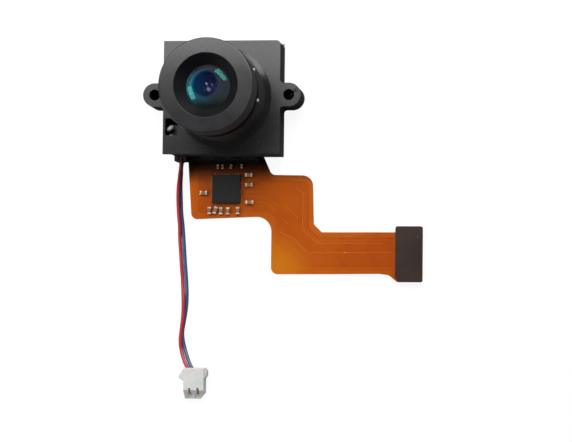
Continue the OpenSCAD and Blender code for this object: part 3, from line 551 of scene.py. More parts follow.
def frontGlass(look):
    # coated glass whose emission paints a glow of reflections and coating colours: deep inside, a dark blue
    # middle with a rim, and a ring that changes round its turn, a painted reflection of the retainer
    material = glassMaterial("coated_glass", look["pane"])
    tree = material.node_tree
    where = objectPlace(tree)
    place = axes(tree, where)
    clear, ring = look["clear"], look["ring"]

    def along(axis, span):
        return ramp(tree, place[axis], span[0] * mm, span[1] * mm)

    def middleTo(span):
        return awayFrom(tree, where, clear["centre"], span, clear["squash"])

    upward = blend(tree, along("Y", clear["riseY"]), clear["low"], clear["top"])
    core = blend(tree, along("X", clear["sideX"]), clear["side"], upward)
    violet, spot = (awayFrom(tree, where, part["centre"], part["span"])
                    for part in (look["violet"], look["spot"]))
    core = blend(tree, violet, look["violet"]["colour"], core)
    rim = blend(tree, along("X", clear["rimX"]), clear["rimLeft"], clear["rimRight"])
    core = blend(tree, middleTo(clear["rim"]), core, rim)
    around = blend(tree, along("X", ring["sideX"]), ring["left"], ring["right"])
    around = blend(tree, along("Y", ring["topY"]), around, ring["top"])
    around = blend(tree, along("Y", ring["lowY"]), ring["low"], around)
    whole = blend(tree, middleTo(ring["edge"]), core, around)
    whole = blend(tree, spot, look["spot"]["colour"], whole)
    # the painted reflections go out as emission, so the glass glows with them
    tree.links.new(whole, tree.nodes["Principled BSDF"].inputs["Emission Color"])
    return material


materials["coated_glass"] = frontGlass(frontLook)
materials["inner_glass"] = innerGlass(innerLook)


sleeveShade = {"endsY": (-13, -9.5), "depth": 0.25}


def sleeveMaterial(name, colour, deep):
    # wire insulation: a soft sheen, slightly deeper colour in patches, and darker where it leaves the
    # holder, a painted shade
    material, tree, shader, where, cloudy = surface(name, {
        "colour": colour, "colour2": deep, "patch": 700.0, "grain": 2500.0, "bump": 0.15,
        "roughness": (0.3, 0.42), "shader": {"Coat Weight": 0.15, "Coat Roughness": 0.3}})
    # painted shade: the colour deepens towards the holder between the two endsY
    near = ramp(tree, axes(tree, where)["Y"], *(y * mm for y in sleeveShade["endsY"]))
    shade = blend(tree, near, cloudy, tuple(sleeveShade["depth"] * c for c in deep))
    tree.links.new(shade, shader.inputs["Base Color"])
    return material


sleeveColours = {
    "red_sleeve": ((0.54, 0.036, 0.048), (0.43, 0.02, 0.035)),
    "blue_sleeve": ((0.055, 0.122, 0.255), (0.044, 0.084, 0.19)),
}
materials.update({name: sleeveMaterial(name, *pair) for name, pair in sleeveColours.items()})

filmZones = {
    "corner": {"centre": (8, -25), "span": (1, 5.5)},
    # beside: painted light that lifts the film's colour left of the chip
    "beside": {"centre": (-7, -14.5), "span": (2, 5), "share": 0.9, "tint": (1.4, 1.3, 1.2)},
    "tail": {"axis": "X", "span": (16, 25), "tint": (0.88, 0.74, 0.8)},
    # under and dark: painted shade below the holder's lower edge
    "under": {"axis": "Y", "span": (-12.4, -10.3)},
    "dark": {"axis": "Y", "span": (-10.6, -9.2), "colour": (0.006, 0.002, 0.001)},
}


def filmMaterial(name, look, zones):
    # orange film: cloudy colour, yellower at the lower corner, lighter beside the chip by painted light,
    # redder by the connector and dark under the holder by painted shade
    material, tree, shader, where, cloudy = surface(name, {
        "colour": look["colour"], "colour2": look["colour2"], "patch": look["patch"], "grain": 3000.0,
        "bump": 0.1, "depth": 0.008, "roughness": (0.42, 0.55), "dust": 0.78,
        "dustColour": (0.6, 0.3, 0.1), "shader": {"Specular IOR Level": 0.08}})
    place = axes(tree, where)

    def inside(key, *shares):
        zone = zones[key]
        if "centre" in zone:
            value = arrow(tree, "DISTANCE", where, (*(c * mm for c in zone["centre"]), 0))
        else:
            value = place[zone["axis"]]
        return ramp(tree, value, *(c * mm for c in zone["span"]), *shares)

    whole = blend(tree, inside("corner"), look["corner"], cloudy)
    # painted light: lighter beside the chip
    whole = tinted(tree, inside("beside", zones["beside"]["share"], 0.0), whole, zones["beside"]["tint"])
    whole = tinted(tree, inside("tail"), whole, zones["tail"]["tint"])
    # painted shade under the holder
    whole = blend(tree, inside("under"), whole, look["shaded"])
    whole = blend(tree, inside("dark"), whole, zones["dark"]["colour"])
    tree.links.new(whole, shader.inputs["Base Color"])
    return material


filmLooks = {
    "film": {"colour": (0.47, 0.093, 0.0025), "colour2": (0.53, 0.11, 0.0035), "patch": 200.0,
             "corner": (0.56, 0.165, 0.004), "shaded": (0.1, 0.02, 0.004)},
    "filmOverCopper": {"colour": (0.41, 0.071, 0.002), "colour2": (0.47, 0.087, 0.003), "patch": 260.0,
                       "corner": (0.55, 0.16, 0.004), "shaded": (0.085, 0.016, 0.003)},
    "filmGap": {"colour": (0.52, 0.125, 0.011), "colour2": (0.56, 0.14, 0.014), "patch": 300.0,
                "corner": (0.6, 0.19, 0.014), "shaded": (0.12, 0.026, 0.006)},
}
materials.update({name: filmMaterial(name, look, filmZones) for name, look in filmLooks.items()})
print("materials made:", len(materials))


wires = {
    "redWire": {
        "node": "red_wire", "slot": "red_sleeve", "exit": (-6.4, -9.2, 2.78), "length": 38.3,
        "route": [
            (-7.6, -4.6, 2.45), (-7.25, -5.1, 2.65), (-6.8, -5.85, 2.8), (-6.4, -6.75, 2.78),
            (-6.4, -8.2, 2.78), (-6.4, -9.55, 2.78), (-6.5, -10.35, 2.58), (-6.7, -11.2, 2.05),
            (-6.9, -12, 1.45), (-7.1, -13, 0.95), (-7.15, -14.6, 0.82), (-7.05, -16.7, 0.78),
            (-6.88, -18.7, 0.68), (-6.84, -20.7, 0.5), (-6.72, -22.7, 0.28), (-6.57, -24.7, 0.28),
            (-6.39, -26.7, 0.28), (-6.25, -28.6, 0.48), (-6.15, -30.3, 0.72), (-6.15, -31.8, 0.82),
            (-6.25, -33.2, 0.86), (-6.4, -34.6, 0.86), (-6.52, -35.8, 0.78), (-6.42, -37, 0.66),
            (-6.1, -38.1, 0.9), (-5.71, -39.1, 1.2), (-5.31, -39.9, 1.38), (-4.85, -41, 1.38),
            (-4.74, -41.48, 1.38),
        ],
    },
    "blueWire": {
        "node": "blue_wire", "slot": "blue_sleeve", "exit": (-6.4, -9.2, 2.2), "length": 37.8,
        "route": [
            (-7.6, -5.8, 2.45), (-7.2, -5.95, 2.3), (-6.75, -6.2, 2.2), (-6.4, -6.75, 2.2),
            (-6.4, -8.2, 2.2), (-6.4, -9.55, 2.2), (-6.5, -10.2, 1.98), (-6.6, -10.95, 1.42),
            (-6.75, -11.8, 0.8), (-6.85, -12.8, 0.38), (-6.8, -14.6, 0.28), (-6.7, -16.7, 0.28),
            (-6.47, -18.7, 0.28), (-6.3, -20.7, 0.28), (-6.15, -22.7, 0.28), (-6.0, -24.7, 0.28),
            (-5.82, -26.7, 0.28), (-5.71, -28.6, 0.28), (-5.72, -30.3, 0.28), (-5.88, -31.8, 0.28),
            (-6.1, -33.2, 0.28), (-6.3, -34.6, 0.28), (-6.2, -35.8, 0.28), (-5.9, -37, 0.36),
            (-5.52, -38.1, 0.68), (-5.1, -39.1, 1.0), (-4.65, -39.9, 1.28), (-3.78, -41, 1.38),
            (-3.5, -41.48, 1.38),
        ],
    },
}
wireDiameter = 0.55
floorGap = 0.002
plugLook = {"greys": ((0.52, 0.52, 0.48), (0.68, 0.68, 0.65)), "ragged": 0.0012, "endY": (-43.4, -42.3),
            "endGlow": (1.0, 1.0, 0.96)}


def nylonMaterial(look):
    # translucent white nylon, grey and blotched at its open end, with a painted glow that is whitest there
    material, tree, shader, where, cloudy = surface("plug_nylon", {
        "colour": (0.6, 0.6, 0.585), "colour2": (0.66, 0.66, 0.65), "patch": 300.0, "grain": 3000.0,
        "bump": 0.15, "depth": 0.01, "roughness": (0.35, 0.5),
        "shader": {"Subsurface Weight": 0.6, "Subsurface Scale": 0.001, "Emission Strength": 0.2}})
    blotches = addNode(tree, "ShaderNodeTexNoise", {"Vector": where, "Scale": 2200.0, "Detail": 3.0})
    grey = blend(tree, ramp(tree, blotches.outputs["Fac"], 0.38, 0.62), *look["greys"])
    shift = figure(tree, "MULTIPLY", blotches.outputs["Fac"], look["ragged"])
    end = ramp(tree, figure(tree, "ADD", shift, axes(tree, where)["Y"]), *(y * mm for y in look["endY"]))
    tree.links.new(blend(tree, end, grey, cloudy), shader.inputs["Base Color"])
    # painted glow: the emission is whitest at the open end and lightens the shaded slots
    tree.links.new(blend(tree, end, look["endGlow"], cloudy), shader.inputs["Emission Color"])
    return material


materials["plug_nylon"] = nylonMaterial(plugLook)
plug = easedCopy("plugHousing", "plug_housing", 0.1, materials["plug_nylon"])


def makeWire(name, wire, sides=20):
    # a round tube along a smooth curve through the route's points, never lower than the floor
    path = smoothRoute(wire["route"])
    path[:, 2] = np.maximum(path[:, 2], wireDiameter / 2 + floorGap)
    grid = tubeGrid(path, wireDiameter / 2, sides)
    rows = len(path)
    faces = [*gridFaces(rows, sides, False, True), range(sides), range((rows - 1) * sides, rows * sides)]
    piece = meshPiece(name, grid, faces, "holder", wire["slot"], materials[wire["slot"]])
    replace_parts(sharpen(piece, 60), wire["node"])


for name, wire in wires.items():
    makeWire(name, wire)
print("wires made")


easedNodes = {
    "frontShell": ("front_housing", 0.1, "housing_plastic", "housing_plastic"),
    "rearShell": ("rear_housing", 0.08, "housing_plastic", "rear_plastic"),
    "controlChip": ("control_chip", 0.06, "chip_epoxy", "chip_epoxy"),
    "chipJoints": ("chip_joints", 0.03, "solder", "joint_solder"),
    "capacitorBodies": ("capacitors", 0.04, "capacitor_ceramic", "capacitor_ceramic"),
    "capacitorCaps": ("capacitor_ends", 0.06, "solder", "tinned_ends"),
    "connectorPlate": ("connector_stiffener", 0.05, "brown_stiffener", "brown_stiffener"),
    "sensorPlate": ("sensor_stiffener", 0.04, "stiffener_plate", "stiffener_plate"),
    "chipPlate": ("chip_stiffener", 0.04, "stiffener_plate", "stiffener_plate"),
    "boardConnector": ("board_connector", 0.03, "connector_plastic", "connector_plastic"),
}
for name, (node, width, slot, finish) in easedNodes.items():
    easedCopy(name, node, width, materials[finish])
print("eased copies made:", len(easedNodes))

keptNodes = {
    "filter_frame": "slide_plastic", "ir_filter": "ir_filter_glass", "clear_filter": "clear_glass",
    "rotor_magnet": "magnet", "rotor_arm": "white_plastic", "rotor_pin": "steel",
    "coil_bobbin": "bobbin_plastic", "coil_winding": "enamelled_copper", "coil_yoke": "steel",
    "lens_spacer": "retainer_black", "aperture_ring": "retainer_black",
    "third_element": "hidden_glass", "rear_element": "hidden_glass", "rear_retainer": "retainer_black",
    "sensor_package": "sensor_ceramic", "sensor_glass": "clear_glass", "flex_circuit": "film",
    "connector_contacts": "gold_contacts", "plug_terminals": "tinned_contacts",
}
for node, finish in keptNodes.items():
    cad[node].data.materials.clear()
    cad[node].data.materials.append(materials[finish])


def boxOf(node):
    return np.array(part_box(node)) / mm


barrelFoot, lensTop = boxOf("lens_barrel")[:, 2]
headRadius = boxOf("lens_barrel")[1, 0]
tubeTop = boxOf("front_housing")[1, 2]
glassSeat = boxOf("front_element")[0, 2]
mouthFloor = boxOf("front_retainer")[0, 2]

lensBody = {
    "headHeight": 4.2, "edgeRound": 0.16, "softRound": 0.1, "shoulder": 0.5,
    "neckRadius": 5.55, "neckRound": 0.2, "mouthRadius": 4.6, "mouthRound": 0.03,
    "threadRadius": 5.95, "threadPitch": 0.5, "threadDepth": 0.26, "threadOut": 0.9, "threadEnd": 0.2,
    "footRadius": 5.5, "footSlope": 0.45, "rearRadius": 3.6, "seatRadius": 3.95, "boreRadius": 3.4,
    "waistRadius": 2.2, "waistLow": 8.2, "waistHigh": 9.4, "threadRows": 48, "steps": 192,
}


def makeLensBody(body):
    # a profile turned round the lens axis: foot, thread, neck and head outside, then mouth, seat,
    # bore and waist inside
    head, edge = lensTop - body["headHeight"], body["edgeRound"]
    mouth, neck, thread = body["mouthRadius"], body["neckRadius"], body["threadRadius"]
    rear, seat, bore, waist = (body[key + "Radius"] for key in ("rear", "seat", "bore", "waist"))
    threadFoot, threadTop = barrelFoot + body["footSlope"], tubeTop + body["threadOut"]
    soft, shoulder, close = body["softRound"], body["shoulder"], 1e-6
    outline = roundedOutline([
        (rear, barrelFoot, 0), (body["footRadius"], barrelFoot, soft), (thread, threadFoot, 0),
        (thread, threadTop, 0), (neck, threadTop + body["threadEnd"], soft),
        (neck, head - shoulder, body["neckRound"]), (headRadius - shoulder, head, soft),
        (headRadius, head, edge), (headRadius, lensTop, edge), (mouth, lensTop, body["mouthRound"]),
        (mouth, mouthFloor, 0), (seat, mouthFloor, 0), (seat, glassSeat, 0), (bore, glassSeat, 0),
        (bore, body["waistHigh"], 0), (waist, body["waistHigh"], 0), (waist, body["waistLow"], 0),
        (rear, body["waistLow"], 0)])
    # the thread's rows take the place of the outline's point at its top
    start = int(np.argmin(np.hypot(*(outline - (thread, threadFoot)).T)))
    turns = np.linspace(tubeTop - body["threadOut"], threadTop, body["threadRows"])[:, None]
    threadRows = np.hstack([0 * turns + thread, turns])
    grid = latheGrid(np.vstack([outline[:start + 1], threadRows, outline[start + 2:]]), body["steps"])
    # the thread is a cosine wave whose phase follows height and angle together
    height, angle = grid[..., 2], np.arctan2(grid[..., 1], grid[..., 0])
    wave = 0.5 - 0.5 * np.cos(2 * np.pi * height / body["threadPitch"] - angle)
    wall = np.hypot(grid[..., 0], grid[..., 1])
    inThread = (np.abs(wall - thread) < close) & (height > turns[0] - close)
    grid[..., :2] *= (1 - inThread * body["threadDepth"] * wave / wall)[..., None]
    piece = meshPiece("lensBody", grid, gridFaces(len(grid), body["steps"], True, True), "holder",
                      "anodised_black", materials["anodised_black"])
    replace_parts(sharpen(piece, 40), "lens_barrel")


makeLensBody(lensBody)

lensCone = {
    "glassRadius": 3.15, "lip": 0.08, "rise": 0.35, "topGap": 0.12, "sideGap": 0.01, "flange": 0.04,
    "footWidth": 0.06, "footDrop": 0.02, "footWall": 0.1,
    "grooves": 14, "groovePoints": 6, "groove": (0.02, 0.012), "steps": 192,
}


def makeCone(cone):
    # a ring whose sloping inner wall is a saw of fine grooves
    outer, top = lensBody["mouthRadius"] - cone["sideGap"], lensTop - cone["topGap"]
    inner, low = cone["glassRadius"], mouthFloor + cone["rise"]
    start = np.array((outer - cone["flange"], top))
    end = np.array((inner + cone["lip"], low))
    step = np.linspace(0, 1, cone["groovePoints"] * cone["grooves"] + 1)[1:-1, None]
    saw = (step * cone["grooves"]) % 1  # each groove falls away and steps back
    slope = start + (end - start) * step + saw * np.array(cone["groove"])
    foot = [(inner + cone["footWidth"], low - cone["footDrop"]), (inner, low - cone["footWall"])]
    profile = np.vstack([[(inner, mouthFloor), (outer, mouthFloor), (outer, top)], start, slope, end, foot])
    piece = lathePiece("frontRing", profile, "holder", "retainer_black", materials["retainer_black"],
                       steps=cone["steps"])
    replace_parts(piece, "front_retainer")


makeCone(lensCone)

glassForms = {
    "frontGlass": {"node": "front_element", "slot": "coated_glass", "outer": 3.92, "foot": glassSeat,
                   "rim": mouthFloor, "wall": 0.38,
                   "slopes": ((0, 0), (2.2, 9.2), (2.42, 11.6), (2.92, 12.1), (3.1, 30)),
                   "hollowRadius": 4.0, "hollow": 1.1},
    "secondGlass": {"node": "second_element", "slot": "inner_glass", "outer": 3.37, "foot": glassSeat - 4.1,
                    "rim": glassSeat - 2.9, "wall": 0.0,
                    "slopes": ((0, 0), (2.7, 32.7)),
                    "hollowRadius": 7.0, "hollow": 0.3},
}
glassSteps = {"dome": 63, "hollow": 28, "around": 128}
rimEase = 0.05


def makeGlass(name, glass):
    # flat rim, a dome on it, and a shallow hollow below; the dome's slope in degrees changes evenly
    # between the given radii
    outward = np.linspace(0, glass["slopes"][-1][0], glassSteps["dome"])
    slope = np.tan(np.radians(np.interp(outward, *zip(*glass["slopes"]))))
    fall = np.concatenate([[0], np.cumsum((slope[1:] + slope[:-1]) / 2 * np.diff(outward))])
    dome = np.stack([outward, glass["rim"] + glass["wall"] + fall[-1] - fall], 1)
    ball, depth = glass["hollowRadius"], glass["hollow"]
    half = np.sqrt(ball ** 2 - (ball - depth) ** 2)
    inward = np.linspace(half, 0, glassSteps["hollow"])
    under = np.stack([inward, glass["foot"] + depth - ball + np.sqrt(ball ** 2 - inward ** 2)], 1)
    outer, top, foot = glass["outer"], glass["rim"], glass["foot"]
    rim = [(outward[-1] + 0.001, top), (outer - rimEase, top), (outer, top - rimEase),
           (outer, foot + rimEase), (outer - rimEase, foot)]
    piece = lathePiece(name, np.vstack([dome, rim, under]), "holder", glass["slot"],
                       materials[glass["slot"]], closed=False, steps=glassSteps["around"], angle=25)
    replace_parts(piece, glass["node"])
    return piece


lensPanes = [makeGlass(name, glass) for name, glass in glassForms.items()]
print("lens made")


glueDrops = {"angles": (28, -12), "radius": 0.26, "squash": 0.8, "height": 0.26, "out": 6.55,
             "sunk": 0.02, "fullness": 0.8, "rows": 9, "columns": 24}


def makeDrops(drops):
    # half of a flattened ball for each drop, fuller at its foot
    rows, columns = drops["rows"], drops["columns"]
    around = np.linspace(0, 2 * np.pi, columns, endpoint=False)[None, :]
    rise = np.linspace(0, np.pi / 2, rows)[:, None]
    bulge = drops["radius"] * np.cos(rise) ** drops["fullness"]
    faces = [*gridFaces(rows, columns, False, True), np.arange(columns)]
    parts = []
    for angle in np.radians(drops["angles"]):
        x = drops["out"] * np.cos(angle) + bulge * np.cos(around) * drops["squash"]
        y = drops["out"] * np.sin(angle) + bulge * np.sin(around)
        z = tubeTop - drops["sunk"] + drops["height"] * np.sin(rise) + 0 * around
        parts.append((np.stack([x, y, z], -1), faces))
    piece = meshPiece("glueDrops", *stacked(parts), "holder", "clear_glue", materials["clear_glue"])
    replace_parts(piece, "thread_glue")


makeDrops(glueDrops)


def lumps(x, y, seed=0.0):
    # smooth unevenness between -1 and 1: three sine waves of different lengths, added
    return (np.sin(2.1 * x + 1.3 * y + seed) + 0.6 * np.sin(5.3 * x - 2.2 * y + 1.7 * seed)
            + 0.35 * np.sin(11 * x + 4.1 * y + 0.6 * seed)) / 1.95


# the bead is sealant, and it also stands in for the deep shade along the holder's lower edge
edgeBead = {"reach": 0.85, "height": 0.8, "uneven": 0.1, "rows": 90, "columns": 10, "endGap": 0.02,
            "backGap": 0.005, "taper": 0.6, "endShare": 0.15, "fullness": 0.9}


def makeBead(bead):
    # a quarter-round carried along the holder's lower edge, its radius uneven and less at both ends
    low, high = boxOf("board_seal")
    x = np.linspace(low[0] + bead["endGap"], high[0] - bead["endGap"], bead["rows"])[:, None]
    angle = np.linspace(0, np.pi / 2, bead["columns"])[None, :]
    fromEnd = np.minimum(x - low[0], high[0] - x)
    taper = np.clip(fromEnd / bead["taper"], bead["endShare"], 1) ** 0.5
    swell = taper * (1 + bead["uneven"] * lumps(x, 3 * angle))
    back = high[1] - bead["backGap"]
    y = back - swell * bead["reach"] * np.cos(angle) ** bead["fullness"]
    z = low[2] + swell * bead["height"] * np.sin(angle) + 0 * x
    inner = np.stack([x, np.full_like(x, back), np.full_like(x, low[2])], -1)
    grid = np.concatenate([np.stack([x + 0 * angle, y, z], -1), inner], 1)
    rows, columns = grid.shape[:2]
    ends = [range(columns), range((rows - 1) * columns, rows * columns)]
    piece = meshPiece("edgeSealant", grid, [*gridFaces(rows, columns, False, True), *ends], "holder",
                      "black_sealant", materials["black_sealant"])
    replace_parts(sharpen(piece, 60), "board_seal")


makeBead(edgeBead)

outletBlob = {"centre": (-6.4, -9.12, 2.45), "size": (0.5, 0.55, 0.62), "uneven": 0.12,
              "rows": 17, "columns": 28}


def makeBlob(blob):
    # a ball stretched to the outlet and pushed in and out by the same unevenness
    rows, columns = blob["rows"], blob["columns"]
    ball = ballGrid(rows, columns)
    swell = 1 + blob["uneven"] * lumps(3 * ball[..., 0], 3 * ball[..., 2], 2.0)[..., None]
    grid = np.array(blob["centre"]) + ball * swell * np.array(blob["size"])
    piece = meshPiece("outletSealant", grid, gridFaces(rows, columns, False, True), "holder",
                      "black_sealant", materials["black_sealant"])
    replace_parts(piece, "wire_seal")


makeBlob(outletBlob)

pinSolder = {"spot": (-7.72, -4.5, 4.95), "size": (0.56, 0.34, 0.36), "turn": 32, "uneven": 0.16,
             "pinRadius": 0.2, "pinFoot": 2.76, "pinOff": 0.1, "hiddenIn": 0.5, "rows": 21, "columns": 36}


def makePins(look):
    # each pin is a rod in a ball of solder, drawn out to one side and pushed in and out by the same
    # unevenness
    rows, columns = look["rows"], look["columns"]
    ball = ballGrid(rows, columns)
    around = np.linspace(0, 2 * np.pi, columns, endpoint=False)
    ring = look["pinRadius"] * np.stack([np.cos(around), np.sin(around), 0 * around], -1)
    rodEnds = np.arange(2 * columns).reshape(2, columns)
    tilt = np.radians(look["turn"])
    turn = np.array([[np.cos(tilt), -np.sin(tilt), 0], [np.sin(tilt), np.cos(tilt), 0], [0, 0, 1]])
    x, seenY, z = look["spot"]
    hiddenY = boxOf("coil_terminals")[0, 1] + look["hiddenIn"]
    parts = []
    for number, y in enumerate((seenY, hiddenY)):
        swell = 1 + look["uneven"] * lumps(3 * ball[..., 0], 3 * ball[..., 1], 1.0 + number)[..., None]
        blob = (ball * swell * np.array(look["size"])) @ turn.T + (x, y, z)
        rod = np.stack([ring + (x + look["pinOff"], y, height) for height in (look["pinFoot"], z)])
        parts += [(blob, gridFaces(rows, columns, False, True)),
                  (rod, [*gridFaces(2, columns, False, True), *rodEnds])]
    piece = meshPiece("pinSolder", *stacked(parts), "holder", "solder", materials["pin_solder"])
    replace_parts(sharpen(piece, 50), "coil_terminals")


makePins(pinSolder)
print("sealant, glue and solder made")


# the film's top: its highest point at every X where it has points, and straight lines between them
filmPoints = np.array([v.co for v in cad["flex_circuit"].data.vertices]) / mm
levels = np.unique(filmPoints[:, 0].round(3))
nearLevel = 0.002
crest = np.array([filmPoints[np.abs(filmPoints[:, 0] - x) < nearLevel, 2].max() for x in levels])


def filmTop(x):
    return np.interp(x, levels, crest)


copperArea = {
    # beside the chip, down to the corner and along the arm
    "outline": [(-4.3, -9.3, 0.2), (-4.1, -16.9, 0.6), (6.4, -16.6, 1.5), (7.55, -17.6, 0.8),
                (7.6, -21.3, 0.4), (11.55, -25.1, 0.3), (25.2, -25.1, 0.1), (25.2, -20.35, 0.1),
                (14.2, -20.35, 0.4), (12.6, -19, 0.4), (12.6, -12.1, 0.8), (6.6, -11.7, 0.8),
                (5.2, -9.3, 0.2)],
    "lift": 0.008, "sunk": 0.004, "bentFrom": 15,
}
filmGaps = {
    "lift": 0.01, "thickness": 0.006, "step": 0.5,
    "lines": [
        (0.12, [(10.5, -12.95), (11.65, -13.8), (11.65, -19.2), (13.85, -21.2), (23.6, -21.2)]),
        (0.06, [(12, -13.6), (12, -19.1), (13.95, -20.8), (25, -20.75)]),
        (0.1, [(8.25, -19.6), (10.4, -20.6), (12.4, -22.65), (25.2, -22.6)]),
        (0.1, [(9.45, -22.8), (11.7, -24.95), (25.1, -24.9)]),
        (0.09, [(8.9, -15.6), (10.9, -17.45)]),
        (0.08, [(8.5, -17.6), (9.5, -18.4)]),
        (0.08, [(4.5, -15.05), (6.5, -15.4), (7.4, -16.4)]),
        (0.06, [(2.6, -13.6), (6.5, -13.6)]),
        (0.06, [(2.6, -14.25), (5.5, -14.35), (7.9, -15.55)]),
    ],
}


def makeCopper(area):
    # a flat sheet that follows the film's rise; it is cut across X where the film bends
    border = roundedOutline(area["outline"])
    form = bmesh.new()
    form.faces.new([form.verts.new((x, y, 0)) for x, y in border])
    for x in levels[(levels > area["bentFrom"]) & (levels < border[:, 0].max())]:
        bmesh.ops.bisect_plane(form, geom=form.verts[:] + form.edges[:] + form.faces[:],
                               plane_co=(x, 0, 0), plane_no=(1, 0, 0))
    form.verts.index_update()
    flat = np.array([v.co for v in form.verts])
    flat[:, 2] = filmTop(flat[:, 0]) + area["lift"]
    faces = [[v.index for v in f.verts] for f in form.faces]
    form.free()
    piece = meshPiece("copperAreas", flat, faces, "holder", "flex_film", materials["filmOverCopper"],
                      smooth=False)
    thick = piece.modifiers.new("thickness", "SOLIDIFY")
    thick.thickness, thick.offset = (area["lift"] + area["sunk"]) * mm, -1


makeCopper(copperArea)


def makeGaps(gaps):
    # a thin flat band along each line, mitred at its bends
    parts = []
    for width, line in gaps["lines"]:
        corners = np.array(line, float)
        lengths = np.r_[0, np.cumsum(np.linalg.norm(np.diff(corners, axis=0), axis=1))]
        at = np.unique(np.r_[lengths, np.arange(0, lengths[-1], gaps["step"])])
        path = np.stack([np.interp(at, lengths, corners[:, k]) for k in (0, 1)], 1)
        ahead = np.gradient(path, axis=0)
        side = np.stack([-ahead[:, 1], ahead[:, 0]], 1) / np.linalg.norm(ahead, axis=1)[:, None]
        across = np.array([-width, width, width, -width])[:, None] / 2
        edges = path[:, None] + side[:, None] * across
        z = (filmTop(path[:, 0]) + gaps["lift"])[:, None] + np.array([1, 1, 0, 0]) * gaps["thickness"]
        ends = [range(4), range(4 * len(path) - 4, 4 * len(path))]
        parts.append((np.dstack([edges, z]), [*gridFaces(len(path), 4, False, True), *ends]))
    meshPiece("filmGaps", *stacked(parts), "holder", "flex_film", materials["filmGap"], smooth=False)


makeGaps(filmGaps)
print("circuit made")


stageLook = {
    "floorSize": 4.0, "floorDrop": 0.02, "floorColour": (0.14, 0.14, 0.14, 1), "floorLift": 0.91,
    "mirrorFade": 150, "earSpan": 20, "earY": 0.35, "earShade": 1.3, "bodyHalf": (8.6, 8.3),
    "edge": 0.1, "horizon": (0.08, 0.08, 0.08), "zenith": (0.08, 0.08, 0.085), "skyRise": (0.05, 0.75),
}
lamps = {
    "softbox": {"place": (-18, 54.5, 125), "aim": (-18, 54.5, 0),
                "size": (150, 71), "radiance": 5.9, "glass": False},
    "sideWindow": {"place": (75, 130, 145), "aim": (5, -8, 0),
                   "size": (90, 70), "radiance": 5.0, "glass": False},
    "lowWindow": {"place": (-140, -60, 120), "aim": (5, -12, 0),
                  "size": (90, 80), "radiance": 4.5, "glass": False},
    "backPanel": {"place": (100, 156, 76), "aim": (0, 0, 6),
                  "size": (120, 60), "radiance": 5.5, "glass": False},
    "upperGlint": {"place": (29, 77, 200), "aim": (0, 0, 18), "along": (-0.205, 0.203, -0.056),
                   "size": (66, 20), "radiance": 5.4},
    "lowerGlint": {"place": (-101.4, -2, 189), "aim": (0, 0, 18), "along": (0.0675, -0.207, 0.037),
                   "size": (60, 22), "radiance": 6.0},
    "dotGlint": {"place": (-46, 45, 260), "aim": (0, 0, 18), "size": (13, 13), "radiance": 36.0,
                 "colour": (1.0, 0.16, 0.25)},
}


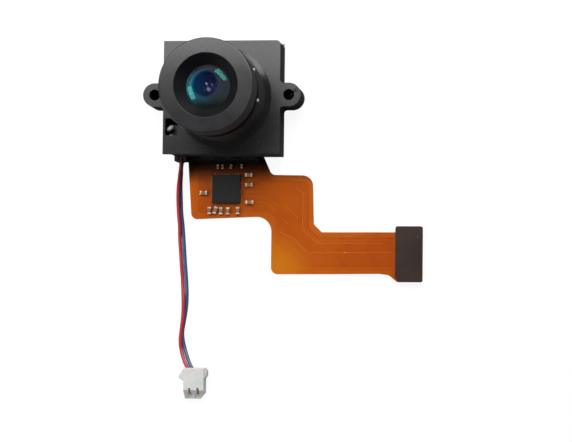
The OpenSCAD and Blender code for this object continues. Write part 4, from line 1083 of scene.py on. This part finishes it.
def makeFloor(look):
    # the floor glows beside the holder and is left dark in the gap under it and under the ears, a painted
    # shade; in reflections its glow grows from the holder over mirrorFade, a painted shade near it
    half = look["floorSize"] / 2
    mesh = bpy.data.meshes.new("floor")
    mesh.from_pydata([(-half, -half, 0), (half, -half, 0), (half, half, 0), (-half, half, 0)], [],
                     [(0, 1, 2, 3)])
    floor = bpy.data.objects.new("floor", mesh)
    floor.location.z = -look["floorDrop"] * mm
    bpy.context.scene.collection.objects.link(floor)
    material, tree, shader = plainMaterial("floor", {
        "Base Color": look["floorColour"], "Roughness": 0.9, "Specular IOR Level": 0.0,
        "Emission Color": (1, 1, 1, 1)})
    # distance outside the holder's plan: its body's rectangle, joined to a round ear on each side
    low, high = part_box("front_housing")
    centre = ((low[0] + high[0]) / 2, look["earY"] * mm, 0)
    offset = arrow(tree, "ABSOLUTE", arrow(tree, "SUBTRACT", objectPlace(tree), centre))
    plan = arrow(tree, "MULTIPLY", offset, (1, 1, 0))
    place = axes(tree, plan)
    across, along = (figure(tree, "SUBTRACT", place[axis], reach * mm)
                     for axis, reach in zip("XY", look["bodyHalf"]))
    hole = arrow(tree, "DISTANCE", plan, (look["earSpan"] / 2 * mm, 0, 0))
    beyondEar = figure(tree, "SUBTRACT", hole, look["earShade"] * mm)
    far = figure(tree, "MINIMUM", figure(tree, "MAXIMUM", across, along), beyondEar)
    path = addNode(tree, "ShaderNodeLightPath").outputs
    clear = figure(tree, "MAXIMUM", path["Is Camera Ray"], path["Is Transmission Ray"])
    seen = figure(tree, "MULTIPLY", clear, ramp(tree, far, -look["edge"] * mm, look["edge"] * mm))
    # painted shade in reflections: the floor's glow is weaker near the holder
    reflectedShade = ramp(tree, far, 0, look["mirrorFade"] * mm)
    mirrored = figure(tree, "MULTIPLY", path["Is Glossy Ray"], reflectedShade)
    glow = figure(tree, "MULTIPLY", figure(tree, "MAXIMUM", seen, mirrored), look["floorLift"])
    tree.links.new(glow, shader.inputs["Emission Strength"])
    mesh.materials.append(material)


def makeRoom(look):
    # pale round the horizon and darker towards the ceiling
    world = bpy.data.worlds.new("studio")
    bpy.context.scene.world = world
    world.use_nodes = True
    tree = world.node_tree
    rise = axes(tree, addNode(tree, "ShaderNodeTexCoord").outputs["Generated"])["Z"]
    colour = blend(tree, ramp(tree, rise, *look["skyRise"]), look["horizon"], look["zenith"])
    tree.links.new(colour, tree.nodes["Background"].inputs["Color"])


def glassPanes(name, state):
    # the panes that a lamp lights alone, or the panes that it leaves out
    group = bpy.data.collections.new(name)
    for pane in lensPanes:
        group.objects.link(pane)
    for member in group.collection_objects:
        member.light_linking.link_state = state
    return group


def makeLamp(name, lamp):
    data = bpy.data.lights.new(name, "AREA")
    data.shape = "RECTANGLE"
    data.size, data.size_y = (s * mm for s in lamp["size"])
    data.energy = lamp["radiance"] * np.pi * data.size * data.size_y
    data.color = lamp.get("colour", (1, 1, 1))
    place, aim = (Vector(lamp[key]) * mm for key in ("place", "aim"))
    light = bpy.data.objects.new(name, data)
    # the lamp looks along its own -Z, and its long side is its own X
    back = (place - aim).normalized()
    side = Vector(lamp.get("along", (1, 0, 0)))
    side = (side - side.dot(back) * back).normalized()
    turn = Matrix((side, back.cross(side), back)).transposed().to_4x4()
    light.matrix_world = Matrix.Translation(place) @ turn
    light.light_linking.receiver_collection = paneGroups[lamp.get("glass", True)]
    bpy.context.scene.collection.objects.link(light)


paneGroups = {True: glassPanes("litPanes", "INCLUDE"), False: glassPanes("spared", "EXCLUDE")}
makeFloor(stageLook)
makeRoom(stageLook)
for name, lamp in lamps.items():
    makeLamp(name, lamp)
bpy.context.scene.view_settings.view_transform = "Standard"
print("stage and lamps made")
